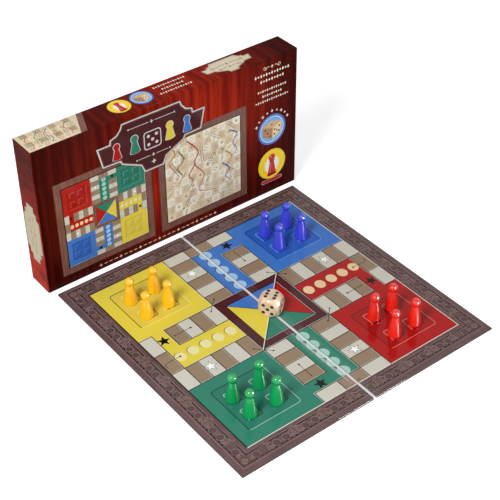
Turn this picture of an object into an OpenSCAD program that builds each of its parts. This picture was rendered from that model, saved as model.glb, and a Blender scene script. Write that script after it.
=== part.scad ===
// Folding ludo board set: a two-leaf board lying open with its sixteen pawns and one
// wooden die on it, and the tuck-end carton that it packs into, standing on its long
// narrow side behind the board. Millimetres, +Z up, the table at z = 0.
// +X runs along the carton, +Y from the player's near edge to the carton.

/* [Board] */
// Width of the open board across the fold
board_w = 406; // [300:1:520]
// Depth of the board along the fold
board_d = 405; // [300:1:520]
// Thickness of a finished leaf, both printed sheets included
board_t = 2.2; // [1.6:0.1:4]
// Thickness of a printed sheet
sheet_t = 0.3; // [0.1:0.05:0.6]
// Width of the clear tape over the fold
tape_w = 24; // [12:1:40]
// Thickness of the clear tape
tape_t = 0.1; // [0.05:0.05:0.3]
// How far the crease's axis lies below the underside
crease_drop = 0.15; // [0.05:0.05:0.5]

/* [Playing field] */
// Side of the printed field inside the border
field_w = 344; // [240:1:460]
// Side of the finishing square in the middle
centre_w = 108; // [70:1:150]
// Distance between home spots towards the home column
spot_pitch_long = 39; // [28:0.5:50]
// Distance between home spots across that
spot_pitch_short = 33.3; // [24:0.1:48]

/* [Pawn] */
// Height of a pawn
pawn_h = 41; // [30:0.5:60]
// Diameter of the foot where it is widest
foot_d = 19; // [14:0.5:24]
// Height at which the foot is widest
foot_z = 2.5; // [1.5:0.1:4]
// How far the foot is drawn in where it meets the board
foot_tuck = 1.2; // [0.4:0.1:2]
// Diameter of the neck
neck_d = 8.4; // [6:0.2:11]
// Diameter of the ball head
head_d = 12.4; // [11.2:0.2:16]
// Wall of the hollow body
pawn_wall = 1.6; // [1:0.1:2.4]

/* [Die] */
// Side of the die between opposite faces
die_side = 29; // [20:0.5:34]
// Diameter of the ball that rounds its edges and corners
die_round_d = 36.8; // [30:0.2:50]
// Diameter of a drilled pip
pip_d = 4.2; // [2.4:0.1:5]
// Depth of a drilled pip
pip_depth = 1; // [0.4:0.1:2]
// Distance from the middle of a face to an outer pip, along each side
pip_pitch = 5.9; // [5:0.1:7]
// Thickness of the paint in a pip
pip_paint_t = 0.25; // [0.1:0.05:0.35]
// Turn of the die on the board
die_yaw = 32; // [0:1:89]

/* [Carton] */
// Length of the carton
carton_w = 426; // [320:1:560]
// Depth of the carton
carton_d = 44; // [34:1:70]
// Height of the carton as it stands
carton_h = 225; // [160:1:300]
// Thickness of the carton board
carton_t = 1; // [0.6:0.1:1.6]
// Gap between the board's far edge and the carton
carton_gap = 10.5; // [2:0.5:40]
// How far the carton stands to the right of the board
carton_shift = 3; // [0:0.5:3.5]
// Play at a crease between two panels
crease_play = 0.3; // [0.2:0.05:0.5]
// Width of the glue flap inside the back panel
glue_flap_w = 15; // [8:1:25]

/* [Carton ends] */
// How far a closure stays short of the carton's height at each end
closure_short = 0.5; // [0.2:0.1:2]
// Length of a tuck tongue
tongue_len = 17; // [10:1:20]
// Lean of a tuck tongue away from the front panel
tongue_slant = 14; // [10:1:25]
// How far a tuck tongue stays short of the carton's height at each end
tongue_short = 5; // [5:0.5:14]
// Radius of a tuck tongue's corners
tongue_corner_r = 8; // [2:1:9]
// Length of a dust flap
dust_len = 40; // [20:1:60]
// How far a dust flap stays behind the front panel
dust_set_front = 4; // [3:0.5:8]
// Slope of a dust flap's front edge
dust_taper = 15; // [5:1:20]
// How far a dust flap stays off the back panel
dust_set_back = 2.5; // [2:0.1:5]

/* [Hidden] */
$fn = 64;
COLOURS = ["yellow", "blue", "red", "green"];
PAWN_INKS = [[0.98, 0.76, 0.1], [0.22, 0.28, 0.82], [0.86, 0.1, 0.08], [0.1, 0.62, 0.33]];
PAWNS_EACH = 4;
SIDES = ["left", "right"];

// Board: the fold gap is two leaves wide, so that the board folds flat either way.
fold_gap = 2 * board_t;
row_d = board_d + carton_gap + carton_d;
board_x = -carton_shift;
board_y = -row_d / 2 + board_d / 2;
tape_top = board_t + tape_t;

// Home spots of the yellow yard, which the other yards repeat a quarter turn on.
yard_mid = (centre_w + field_w) / 4;
HOME_SPOTS = [for (y = [1, -1], x = [-1, 1])
    [-yard_mid + x * spot_pitch_short / 2, yard_mid + y * spot_pitch_long / 2]];
// How far each pawn was put down from the middle of its home spot, yard by yard.
PAWN_STRAY = [
    [[-5, -4], [-1, -3.5], [-4, -1], [-2, 0.5]],
    [[-0.5, 1], [-1, 0.5], [1.5, 3], [-0.5, 2]],
    [[0.5, -1], [-1, -1], [-2, -0.5], [0, -0.5]],
    [[-4, -1], [-5, -1.5], [-4.5, -3.5], [-4, -3]]];
DIE_STRAY = [-0.5, -1];

// Pawn: the bell runs from the foot to the neck, and the ball sits in the neck's rim.
head_z = pawn_h - head_d / 2;
neck_z = head_z - sqrt(pow(head_d / 2, 2) - pow(neck_d / 2, 2));
BELL_STEPS = 10;
FOOT_STEPS = 4;
cavity_top_z = neck_z - 2 * pawn_wall;

// Carton: the four panels end short of the closures by their thickness and one play.
carton_y0 = row_d / 2 - carton_d;
carton_y1 = row_d / 2;
sleeve_half = carton_w / 2 - carton_t - crease_play;
glue_flap_set = 3;

function quarter_turn(p, n) =
    n == 0 ? p : quarter_turn([p.y, -p.x], n - 1);

function bell_r(z) =
    let (u = (z - foot_z) / (neck_z - foot_z))
    neck_d / 2 + (foot_d - neck_d) / 2 * ((1 - u) + cos(90 * u)) / 2;

function foot_r(z) =
    foot_d / 2 - foot_tuck * (1 - sqrt(1 - pow(1 - z / foot_z, 2)));

// Pips of a face in its own plane, as signs of the pip pitch.
function pips(count) =
    count == 1 ? [[0, 0]]
    : count == 2 ? [[1, 1], [-1, -1]]
    : count == 3 ? [[1, 1], [0, 0], [-1, -1]]
    : count == 4 ? [[1, 1], [1, -1], [-1, 1], [-1, -1]]
    : count == 5 ? [[1, 1], [1, -1], [0, 0], [-1, 1], [-1, -1]]
    : [for (column = [-1, 1], row = [-1:1]) [row, column]];

// Turns that bring the top face to each side of the die, with its number of pips.
DIE_FACES = [[[0, 0, 0], 6], [[180, 0, 0], 1], [[0, -90, 0], 5], [[0, 90, 0], 2],
    [[90, 0, 0], 3], [[-90, 0, 0], 4]];

module box(low, high) {
    translate(low) cube(high - low);
}

// Draws a leaf's piece, which is written for the right leaf with the fold at x = 0.
module on_leaf(side) {
    translate([board_x, board_y, 0])
        mirror([side == "left" ? 1 : 0, 0, 0]) children();
}

module board_core(side) {
    color("silver") on_leaf(side)
        box([fold_gap / 2, -board_d / 2 + sheet_t, sheet_t],
            [board_w / 2 - sheet_t, board_d / 2 - sheet_t, board_t - sheet_t]);
}

// The ludo print covers the top and wraps down the three outer edges.
module ludo_sheet(side) {
    color([0.36, 0.25, 0.24]) on_leaf(side) difference() {
        box([fold_gap / 2, -board_d / 2, 0], [board_w / 2, board_d / 2, board_t]);
        box([fold_gap / 2 - 1, -board_d / 2 + sheet_t, -1],
            [board_w / 2 - sheet_t, board_d / 2 - sheet_t, board_t - sheet_t]);
    }
}

// The snakes print covers the underside and runs on to the crease in the fold gap.
module snakes_sheet(side) {
    color([0.85, 0.8, 0.68]) on_leaf(side)
        box([0, -board_d / 2 + sheet_t, 0],
            [board_w / 2 - sheet_t, board_d / 2 - sheet_t, sheet_t]);
}

module hinge_tape(side) {
    color([0.9, 0.93, 0.95, 0.5]) on_leaf(side)
        box([0, -board_d / 2, board_t], [tape_w / 2, board_d / 2, tape_top]);
}

// Hollow moulded pawn: tucked-in foot, bell body, narrow neck and ball head.
module pawn_shape() {
    difference() {
        union() {
            rotate_extrude() polygon(concat(
                [[0, 0]],
                [for (i = [0:FOOT_STEPS]) let (z = foot_z * i / FOOT_STEPS) [foot_r(z), z]],
                [for (i = [1:BELL_STEPS])
                    let (z = foot_z + (neck_z - foot_z) * i / BELL_STEPS) [bell_r(z), z]],
                [[neck_d / 2, head_z], [0, head_z]]));
            translate([0, 0, head_z]) sphere(d = head_d);
        }
        rotate_extrude() polygon(concat(
            [[0, -1], [foot_r(0) - pawn_wall, -1]],
            [for (i = [0:BELL_STEPS])
                let (z = foot_z + (cavity_top_z - foot_z) * i / BELL_STEPS)
                [bell_r(z) - pawn_wall, z]],
            [[0, cavity_top_z + pawn_wall]]));
    }
}

module pawn(yard, i) {
    spot = quarter_turn(HOME_SPOTS[i], yard) + PAWN_STRAY[yard][i];
    color(PAWN_INKS[yard])
        translate([board_x + spot.x, board_y + spot.y, board_t]) pawn_shape();
}

module at_die() {
    translate([board_x + DIE_STRAY.x, board_y + DIE_STRAY.y, tape_top + die_side / 2])
        rotate([0, 0, die_yaw]) children();
}

// Repeats a cylinder at every pip, from one depth to another below the die's faces.
module at_pips(d, deep, shallow) {
    for (face = DIE_FACES) rotate(face[0]) for (p = pips(face[1]))
        translate([p.x * pip_pitch, p.y * pip_pitch, die_side / 2 - deep])
            cylinder(h = deep - shallow, d = d);
}

module die_body() {
    color([0.87, 0.74, 0.56]) at_die() difference() {
        intersection() {
            cube(die_side, center = true);
            sphere(d = die_round_d, $fn = 96);
        }
        at_pips(pip_d, pip_depth, -1);
    }
}

module die_pips() {
    color([0.08, 0.05, 0.04]) at_die()
        at_pips(pip_d - 0.1, pip_depth, pip_depth - pip_paint_t);
}

module carton_front_panel() {
    color([0.5, 0.12, 0.09])
        box([-sleeve_half, carton_y0, 0], [sleeve_half, carton_y0 + carton_t, carton_h]);
}

module carton_back_panel() {
    color([0.5, 0.12, 0.09])
        box([-sleeve_half, carton_y1 - carton_t, 0], [sleeve_half, carton_y1, carton_h]);
}

module carton_top_panel() {
    color([0.45, 0.11, 0.09])
        box([-sleeve_half, carton_y0 + carton_t, carton_h - carton_t],
            [sleeve_half, carton_y1 - carton_t, carton_h]);
}

module carton_bottom_panel() {
    color([0.45, 0.11, 0.09])
        box([-sleeve_half, carton_y0 + carton_t, 0],
            [sleeve_half, carton_y1 - carton_t, carton_t]);
}

// Glue flap: turned up from the bottom panel and stuck inside the back panel.
module carton_glue_flap() {
    half = sleeve_half - glue_flap_set;
    color([0.75, 0.72, 0.68])
        translate([0, carton_y1 - carton_t, carton_t]) rotate([90, 0, 0])
            linear_extrude(carton_t)
                polygon([[-half, 0], [half, 0], [half - glue_flap_w / 3, glue_flap_w],
                    [-half + glue_flap_w / 3, glue_flap_w]]);
}

// Draws an end's piece, which is written for the right end of the carton.
module at_end(side) {
    mirror([side == "left" ? 1 : 0, 0, 0]) children();
}

// Closure: the end panel, hinged on the back panel's end crease.
module closure(side) {
    color([0.42, 0.1, 0.08]) at_end(side)
        box([carton_w / 2 - carton_t, carton_y0, closure_short],
            [carton_w / 2, carton_y1, carton_h - closure_short]);
}

// Tongue outline from its crease, with its two free corners rounded.
module tongue_outline(length, height, r) {
    square([length - r, height]);
    translate([length - r, r]) square([r, height - 2 * r]);
    for (y = [r, height - r]) translate([length - r, y]) circle(r);
}

// Tuck tongue: creased on the closure's front edge and tucked behind the front panel.
// It leans inwards, so that its tip clears the front panel as the closure swings open.
module tuck_tongue(side) {
    height = carton_h - 2 * tongue_short;
    color([0.75, 0.72, 0.68]) at_end(side)
        translate([sleeve_half + (crease_play - carton_t) / 2,
            carton_y0 + carton_t * 1.5 + crease_play, tongue_short]) {
            cylinder(h = height, d = carton_t);
            rotate([90, 0, 180 - tongue_slant])
                translate([0, 0, -carton_t / 2]) linear_extrude(carton_t)
                    tongue_outline(tongue_len, height, tongue_corner_r);
        }
}

// Dust flap: creased on the top or bottom panel and folded across the end, inside the
// closure. Its edges are set in, so that it passes the tongue and the glue flap.
module dust_flap(side, edge) {
    low_y = carton_y0 + carton_t + dust_set_front;
    high_y = carton_y1 - dust_set_back;
    crease_z = carton_h / 2 - carton_t - crease_play - carton_t / 2;
    color([0.75, 0.72, 0.68]) at_end(side)
        translate([sleeve_half - carton_t / 2, 0, carton_h / 2])
            mirror([0, 0, edge == "bottom" ? 1 : 0]) translate([0, 0, crease_z]) {
                translate([0, low_y, 0]) rotate([-90, 0, 0])
                    cylinder(h = high_y - low_y, d = carton_t);
                translate([-carton_t / 2, 0, 0]) rotate([90, 0, 90])
                    linear_extrude(carton_t)
                        polygon([[low_y, 0], [high_y, 0],
                            [high_y - dust_len * tan(dust_taper / 3), -dust_len],
                            [low_y + dust_len * tan(dust_taper), -dust_len]]);
            }
}

for (side = SIDES) {
    board_core(side);
    ludo_sheet(side);
    snakes_sheet(side);
    hinge_tape(side);
}
for (yard = [0:3], i = [0:PAWNS_EACH - 1]) {
    pawn(yard, i);
}
die_body();
die_pips();
carton_front_panel();
carton_back_panel();
carton_top_panel();
carton_bottom_panel();
carton_glue_flap();
for (side = SIDES) {
    closure(side);
    tuck_tongue(side);
    for (edge = ["top", "bottom"]) {
        dust_flap(side, edge);
    }
}
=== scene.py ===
"""Looks of the folding ludo board set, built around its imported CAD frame.

The printed sheets are drawn flat in millimetres, cut into inked triangles, and laid on the
leaves or folded round the carton. Pawns, pip paint and the border's ornament are made by
Geometry Nodes. Lengths are in metres unless a name or comment says millimetres.
"""
import math

import bmesh
import bpy
from mathutils import Matrix, Vector
from mathutils.geometry import delaunay_2d_cdt


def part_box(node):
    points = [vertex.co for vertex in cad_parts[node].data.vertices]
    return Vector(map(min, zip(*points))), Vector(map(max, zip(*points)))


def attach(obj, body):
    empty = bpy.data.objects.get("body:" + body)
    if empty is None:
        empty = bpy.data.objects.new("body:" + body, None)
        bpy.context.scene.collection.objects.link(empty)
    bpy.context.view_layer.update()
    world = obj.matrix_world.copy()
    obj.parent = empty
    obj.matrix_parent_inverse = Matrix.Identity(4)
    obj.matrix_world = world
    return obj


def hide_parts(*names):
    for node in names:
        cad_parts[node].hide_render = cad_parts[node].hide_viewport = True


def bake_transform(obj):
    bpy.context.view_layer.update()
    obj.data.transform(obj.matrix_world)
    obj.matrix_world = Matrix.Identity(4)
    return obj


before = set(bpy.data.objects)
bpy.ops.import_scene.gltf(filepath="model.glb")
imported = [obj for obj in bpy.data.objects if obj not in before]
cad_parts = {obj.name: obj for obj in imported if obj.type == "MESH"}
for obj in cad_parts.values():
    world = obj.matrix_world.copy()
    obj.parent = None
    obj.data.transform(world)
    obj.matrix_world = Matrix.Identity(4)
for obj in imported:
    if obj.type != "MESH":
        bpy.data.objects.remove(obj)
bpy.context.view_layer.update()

MM = 0.001
HALVES = (("left", -1), ("right", 1))

# ---------------------------------------------------------------- the frame's own sizes

sheet_low, sheet_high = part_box("ludo_sheet_left")
right_low, right_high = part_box("ludo_sheet_right")
front_low, front_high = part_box("carton_front_panel")
TAPE_LOW, TAPE_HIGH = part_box("hinge_tape_left")
BOARD_X = (sheet_low.x + right_high.x) / 2
BOARD_Y = (sheet_low.y + sheet_high.y) / 2
BOARD_TOP = sheet_high.z
CARTON_Y0 = front_low.y

# The same in millimetres
BOARD_HALF_W = (right_high.x - sheet_low.x) / 2 / MM
BOARD_HALF_D = (sheet_high.y - sheet_low.y) / 2 / MM
FOLD_HALF = (right_low.x - BOARD_X) / MM
TAPE_HALF = (BOARD_X - TAPE_LOW.x) / MM
CARTON_D = (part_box("carton_back_panel")[1].y - CARTON_Y0) / MM
CARTON_H = front_high.z / MM
CARTON_T = (front_high.y - front_low.y) / MM
SLEEVE_HALF = front_high.x / MM

# The print as measured on the board, in millimetres
PRINT_HALF = 203.0
PRINT_OFF_X, PRINT_OFF_Y = 0.5, 1.8
FIELD_HALF = 172.7
CENTRE_HALF = 54.5
TRIANGLE_HALF = 42.5
ARM_HALF = 19.35
ARM_ROWS = 6
YARD_MID = (CENTRE_HALF + FIELD_HALF) / 2
YARD_FRAME, YARD_ROUND = 79.0, 4.5
SPOT_SQUARE, SPOT_ROUND = 20.3, 1.8
SPOT_LONG, SPOT_SHORT = 39.0, 33.3
LINE = 1.3
EDGE_ROUND = 0.45
ORNAMENT_PITCH = 44.3
ORNAMENT_RUNS = 7
ORNAMENT_MID = 15.8
DISC_OFF = 7.2
GREY = (0.5, 0.5, 0.5, 1)


# ---------------------------------------------------------------- camera, stage and light

def set_camera():
    """The photograph's view: 500 by 500, solved from the board's and the carton's corners."""
    focal_px, frame_px, sensor_mm = 1218.32, 500.0, 36.0
    turn = Vector((2.1405, -0.7376, 0.3498))
    right, down, forward = Matrix.Rotation(turn.length, 3, turn.normalized())
    data = bpy.data.cameras.new("photo_camera")
    data.sensor_width = sensor_mm
    data.lens = focal_px / frame_px * sensor_mm
    data.clip_start, data.clip_end = 0.05, 30
    camera = link_object("photo_camera", data)
    place = Matrix((right, -down, -forward)).transposed().to_4x4()
    place.translation = Vector((-0.7596, -0.9641, 1.0574))
    camera.matrix_world = place
    bpy.context.scene.camera = camera


def area_light(name, place, aim, size, watts, glints_only=False):
    """A softbox that the camera doesn't see, and that only shiny surfaces show if asked."""
    data = bpy.data.lights.new(name, "AREA")
    data.shape = "RECTANGLE"
    data.size, data.size_y = size
    data.energy = watts
    light = link_object(name, data)
    light.location = place
    light.rotation_euler = (Vector(place) - Vector(aim)).to_track_quat("Z", "Y").to_euler()
    light.visible_camera = False
    light.visible_diffuse = not glints_only


def link_object(name, data):
    piece = bpy.data.objects.new(name, data)
    bpy.context.scene.collection.objects.link(piece)
    return piece


# ---------------------------------------------------------------- node arithmetic

class Field:
    """A value that changes over a surface or a mesh. Arithmetic on it adds Math nodes."""

    def __init__(self, tree, socket):
        self.tree, self.socket = tree, socket

    def math(self, operation, *others, clamp=False):
        return add(self.tree, "ShaderNodeMath", self, *others,
                   setup={"operation": operation, "use_clamp": clamp})

    def __add__(self, other):
        return self.math("ADD", other)

    def __sub__(self, other):
        return self.math("SUBTRACT", other)

    def __rsub__(self, other):
        return self.math("MULTIPLY_ADD", -1.0, other)

    def __mul__(self, other):
        return self.math("MULTIPLY", other)

    def __truediv__(self, other):
        return self.math("DIVIDE", other)

    __radd__, __rmul__ = __add__, __mul__

    def clamp(self):
        return self.math("ADD", 0.0, clamp=True)

    def above(self, level):
        return self.math("GREATER_THAN", level)

    def smooth(self, low, high):
        """0 below low, 1 above high, and a smooth step between them."""
        return add(self.tree, "ShaderNodeMapRange", self, low, high,
                   setup={"interpolation_type": "SMOOTHSTEP"})

    def choose(self, yes, no):
        """yes where this field is 1, no where it is 0."""
        return no + self * (yes - no)


def feed(tree, entry, value):
    """Links a field or a socket to an input, or sets the input to a constant."""
    if isinstance(value, Field):
        tree.links.new(value.socket, entry)
    elif hasattr(value, "is_output"):
        tree.links.new(value, entry)
    else:
        entry.default_value = value


def add(tree, kind, *values, out=0, setup=(), **entries):
    """Adds a node with its settings, and inputs in order or by name: one output's field."""
    node = tree.nodes.new(kind)
    for name, value in dict(setup).items():
        setattr(node, name, value)
    for entry, value in zip(node.inputs, values):
        feed(tree, entry, value)
    for name, value in entries.items():
        feed(tree, node.inputs[name.replace("_", " ")], value)
    return Field(tree, node.outputs[out])


def vector_math(tree, operation, *values, out=0, **entries):
    return add(tree, "ShaderNodeVectorMath", *values, out=out,
               setup={"operation": operation}, **entries)


def object_place(tree, *factors):
    """The place in the object's own axes, stretched by factors if there are any."""
    place = add(tree, "ShaderNodeTexCoord", out="Object")
    return vector_math(tree, "MULTIPLY", place, *factors) if factors else place


def axes(tree, place):
    """The X, Y and Z of a place."""
    node = add(tree, "ShaderNodeSeparateXYZ", place).socket.node
    return [Field(tree, node.outputs[name]) for name in "XYZ"]


def brightened(tree, colour, factor):
    colour = colour if isinstance(colour, Field) else colour[:3]
    return vector_math(tree, "SCALE", colour, Scale=factor)


def mixed(tree, factor, first, second):
    node = tree.nodes.new("ShaderNodeMix")
    node.data_type = "RGBA"
    for entry, value in zip([i for i in node.inputs if i.enabled], (factor, first, second)):
        feed(tree, entry, value)
    return Field(tree, next(o for o in node.outputs if o.enabled))


def noise(tree, place, scale, detail=2.0, roughness=0.5, distortion=0.0):
    return add(tree, "ShaderNodeTexNoise", Vector=place, Scale=scale,
               Detail=detail, Roughness=roughness, Distortion=distortion)


def new_group(build, inputs, kind="ShaderNodeTree"):
    """A node group named after its builder, which gives its outputs by name. An input is
    given by its default value, or by the kind of its socket where it has none."""
    tree = bpy.data.node_groups.new(build.__name__, kind)

    def socket(name, way, socket_kind):
        return tree.interface.new_socket(name=name, in_out=way,
                                         socket_type="NodeSocket" + socket_kind)

    kinds = {int: "Int", float: "Float"}
    for name, value in inputs.items():
        if isinstance(value, str):
            socket(name, "INPUT", value)
        else:
            row = {3: "Vector", 4: "Color"}
            made = socket(name, "INPUT", kinds.get(type(value)) or row[len(value)])
            made.default_value = value
    enter = tree.nodes.new("NodeGroupInput")
    results = build(tree, {n: Field(tree, enter.outputs[n]) for n in inputs})
    for name in results:
        socket(name, "OUTPUT", name if name in ("Color", "Geometry") else "Float")
    leave = tree.nodes.new("NodeGroupOutput")
    for name, value in results.items():
        feed(tree, leave.inputs[name], value)
    return tree


# ---------------------------------------------------------------- shared surface effects

def print_stock(tree, given):
    """Laminated print: ink with press mottle, and a film with a slow ripple."""
    place = object_place(tree)
    press, drift, ripple = (noise(tree, place, *s) for s in ((2400, 2), (38, 3), (130, 1)))
    tone = 1.0 + given["Mottle"] * (press + drift - 1.0)
    return {"Color": brightened(tree, given["Ink"], tone),
            "Roughness": given["Gloss"] + (drift - 0.5) * 0.12,
            "Height": ripple + press * 0.04}


def wood_grain(tree, given):
    """Wood streaks that run where Stretch is small: a broad figure and fine pores."""
    place = object_place(tree, given["Stretch"])
    sway = noise(tree, place, 0.22, 2) * given["Waviness"] * 6.0
    moved = vector_math(tree, "ADD", place, sway)
    return {"Figure": noise(tree, moved, 0.55, 5, 0.62),
            "Pores": noise(tree, place, 3.2, 3, 0.7)}


def soft_glow(tree, given):
    """1 at Centre, falling smoothly to 0 at the distances in Reach."""
    away = vector_math(tree, "SUBTRACT", object_place(tree), given["Centre"])
    share = vector_math(tree, "DIVIDE", away, given["Reach"])
    length = vector_math(tree, "LENGTH", share, out="Value")
    return {"Mask": 1.0 - length.smooth(0.0, 1.0)}


def board_fibre(tree, given):
    """Grey or bare paperboard: matted fibres, specks and a felted height."""
    place = object_place(tree)
    felt = noise(tree, place, 900, 5, 0.7)
    strands = noise(tree, object_place(tree, (1, 5, 1)), 420, 3, 0.6)
    specks = noise(tree, place, 1500, 1).smooth(0.66, 0.74)
    tone = 0.86 + felt * 0.16 + strands * 0.12 - specks * given["Specks"]
    return {"Color": brightened(tree, given["Pulp"], tone),
            "Height": felt * 0.7 + strands * 0.3}


def moulded_skin(tree, given):
    """Moulded plastic: a slow flow of shade, faint sink waves and handling smears."""
    place = object_place(tree)
    flow = noise(tree, object_place(tree, (1, 1, 0.35)), 95, 3, 0.5, 0.5)
    smear = noise(tree, place, 260, 3).smooth(0.45, 0.75)
    return {"Color": brightened(tree, given["Plastic"], 0.95 + flow * 0.1),
            "Roughness": given["Polish"] + smear * 0.07,
            "Height": noise(tree, place, 210, 1)}


PRINT_STOCK = new_group(print_stock, {"Ink": GREY, "Mottle": 0.05, "Gloss": 0.25})
WOOD_GRAIN = new_group(wood_grain, {"Stretch": (300, 300, 20), "Waviness": 0.6})
SOFT_GLOW = new_group(soft_glow, {"Centre": (0, 0, 0), "Reach": (1, 1, 1)})
BOARD_FIBRE = new_group(board_fibre, {"Pulp": GREY, "Specks": 0.3})
MOULDED_SKIN = new_group(moulded_skin, {"Plastic": GREY, "Polish": 0.12})


def rgb(*srgb):
    """Linear colour of an sRGB colour written 0 to 255."""
    linear = [c / 255 / 12.92 if c <= 10 else ((c / 255 + 0.055) / 1.055) ** 2.4
              for c in srgb]
    return (*linear, 1.0)


def new_material(name):
    material = bpy.data.materials.new(name)
    material.use_nodes = True
    return material, material.node_tree


def use(tree, group, **entries):
    """Places a shared effect in a material and gives its outputs by name."""
    node = tree.nodes.new("ShaderNodeGroup")
    node.node_tree = group
    for name, value in entries.items():
        feed(tree, node.inputs[name], value)
    return {o.name: Field(tree, o) for o in node.outputs}


def dress(tree, colour, roughness, height, relief, strength=1.0, **finish):
    """Sets up a material's shader, with a bump of relief metres where height is 1."""
    bump = add(tree, "ShaderNodeBump", Distance=relief, Strength=strength, Height=height)
    shader = tree.nodes["Principled BSDF"]
    finish.update(Base_Color=colour, Roughness=roughness, Normal=bump)
    for name, value in finish.items():
        feed(tree, shader.inputs[name.replace("_", " ")], value)


def laminate(name, colour, gloss=0.34, film=0.3):
    """A printed ink under the gloss film. colour is a colour, or a maker of its field."""
    material, tree = new_material(name)
    ink = colour(tree) if callable(colour) else colour
    stock = use(tree, PRINT_STOCK, Ink=ink, Mottle=0.06, Gloss=gloss)
    dress(tree, stock["Color"], stock["Roughness"], stock["Height"], 0.00005,
          Specular_IOR_Level=film * 0.16, Coat_Weight=film, Coat_Roughness=0.06)
    return material


def grained(light, dark, stretch):
    """An ink maker: wood figure between two colours, with darker pores."""
    def ink(tree):
        grain = use(tree, WOOD_GRAIN, Stretch=stretch, Waviness=0.6)
        figure = grain["Figure"].smooth(0.32, 0.68)
        shade = 1.0 - grain["Pores"].smooth(0.5, 0.75) * 0.25
        return brightened(tree, mixed(tree, figure, dark, light), shade)
    return ink


# ---------------------------------------------------------------- inks

HOME_PARTS = ("home", "yard", "spot", "edge")
HOME_COLOURS = {
    "blue": ((62, 118, 198), (42, 94, 186), (158, 204, 238), (122, 172, 232)),
    "red": ((174, 18, 16), (162, 14, 12), (238, 204, 160), (232, 138, 124)),
    "green": ((46, 126, 104), (40, 118, 100), (158, 208, 192), (176, 210, 194)),
    "yellow": ((226, 206, 70), (220, 198, 72), (232, 224, 160), (242, 232, 150)),
}
PLAIN_INKS = {
    "cream": (206, 203, 190), "taupe": (148, 126, 102), "silver": (206, 208, 206),
    "line_light": (238, 234, 224), "line_white": (252, 251, 248), "line_dark": (14, 9, 9),
    "maroon": (78, 34, 38), "maroon_shade": (66, 30, 34), "rail_light": (120, 96, 94),
    "border_line": (36, 18, 20), "border_disc": (90, 68, 66), "border_relief": (152, 128, 122),
    "plaque_maroon": (72, 26, 28), "plaque_cream": (226, 216, 188),
    # The stone tone below serves the top's tiles, and as the end's plaque it is the plaque cream
    # darkened: painted shade.
    "plaque_stone": (176, 164, 132), "plaque_line": (158, 92, 66),
    "square_cream": (240, 234, 214), "square_tan": (220, 202, 170),
    "square_ochre": (230, 214, 182), "motif_tan": (178, 146, 108),
    "sketch_tan": (196, 164, 104), "sketch_grey": (150, 150, 136),
    "badge_blue": (66, 128, 216), "badge_sky": (120, 180, 240), "badge_yellow": (250, 212, 34),
    "badge_gold": (252, 224, 90), "badge_white": (246, 242, 226), "ribbon": (190, 30, 40),
    "pawn_red": (196, 34, 40), "pawn_red_shade": (140, 20, 30), "pawn_red_light": (236, 110, 110),
    "die_light": (238, 212, 170), "die_mid": (216, 180, 132), "die_shade": (180, 138, 96),
    "snake_green": (70, 130, 70), "snake_red": (186, 50, 60), "snake_blue": (70, 100, 170),
    "snake_ochre": (196, 140, 40), "ladder_brown": (120, 70, 40), "star_black": (12, 10, 10),
}


def carton_ink(tree):
    """The carton's planks: printed hot red in the middle of the front and near black at its
    edges; on the ends the colour darkens towards the top.
    """
    across, _, up = axes(tree, object_place(tree))
    at_end = across.math("ABSOLUTE").smooth((SLEEVE_HALF + 0.1) * MM, (SLEEVE_HALF + 0.3) * MM)
    grain = use(tree, WOOD_GRAIN, Stretch=(210, 12, 9), Waviness=0.5)
    flow = use(tree, WOOD_GRAIN, Stretch=(9, 26, 150), Waviness=0.8)
    figure = grain["Figure"].smooth(0.3, 0.7) * (1.0 - at_end) \
        + flow["Figure"].smooth(0.25, 0.75) * at_end
    planks = mixed(tree, figure, rgb(76, 15, 12), rgb(128, 32, 20))
    hot = mixed(tree, figure, rgb(138, 20, 11), rgb(196, 52, 24))
    glow, seam, edge = (
        use(tree, SOFT_GLOW, Centre=(x, CARTON_Y0, z), Reach=reach)["Mask"]
        for x, z, reach in ((0.06, 0.19, (0.2, 0.5, 0.17)), (-0.034, 0.07, (0.03, 0.5, 0.12)),
                            (0.0, 0.13, (0.29, 0.6, 0.22))))
    bright = glow.math("MAXIMUM", seam * 0.8).math("MAXIMUM", at_end * 0.55)
    warm = mixed(tree, bright, planks, hot)
    # On the ends the colour darkens towards the top.
    lit = edge * (1.0 - at_end) + (1.0 - up.smooth(0.06, 0.2) * 0.95) * at_end
    shade = (0.24 + lit * 0.95) * (1.0 - grain["Pores"].smooth(0.45, 0.75) * 0.4)
    return brightened(tree, warm, shade)


def make_inks():
    inks = {name: laminate(name, rgb(*colour)) for name, colour in PLAIN_INKS.items()}
    for home, shades in HOME_COLOURS.items():
        for part, colour in zip(HOME_PARTS, shades):
            inks[f"{home}_{part}"] = laminate(f"{home}_{part}", rgb(*colour))
    border = (rgb(112, 88, 87), rgb(92, 68, 68))
    for name, light, dark, stretch in (
            ("border_long", *border, (60, 600, 600)),
            ("border_short", *border, (600, 60, 600)),
            ("border_band", rgb(108, 82, 78), rgb(92, 66, 62), (260, 260, 260)),
            ("frame_wood", rgb(134, 90, 76), rgb(112, 70, 60), (420, 420, 60))):
        inks[name] = laminate(name, grained(light, dark, stretch))
    inks["carton_wood"] = laminate("carton_wood", carton_ink, gloss=0.36, film=0.04)
    inks["carton_bare"] = bare_board("carton_bare", rgb(196, 188, 174), 0.2)
    inks["paper_white"] = bare_board("paper_white", rgb(222, 222, 224), 0.1)
    return inks


def bare_board(name, pulp, specks):
    material, tree = new_material(name)
    fibre = use(tree, BOARD_FIBRE, Pulp=pulp, Specks=specks)
    dress(tree, fibre["Color"], 0.85, fibre["Height"], 0.00008)
    return material


def pawn_plastic(name, colour):
    material, tree = new_material(name)
    skin = use(tree, MOULDED_SKIN, Plastic=colour, Polish=0.2)
    dress(tree, skin["Color"], skin["Roughness"], skin["Height"], 0.00004,
          Specular_IOR_Level=0.08, Subsurface_Weight=0.1, Subsurface_Scale=1.0,
          Subsurface_Radius=(0.004, 0.003, 0.002), Coat_Weight=1.0, Coat_Roughness=0.045)
    return material


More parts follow.
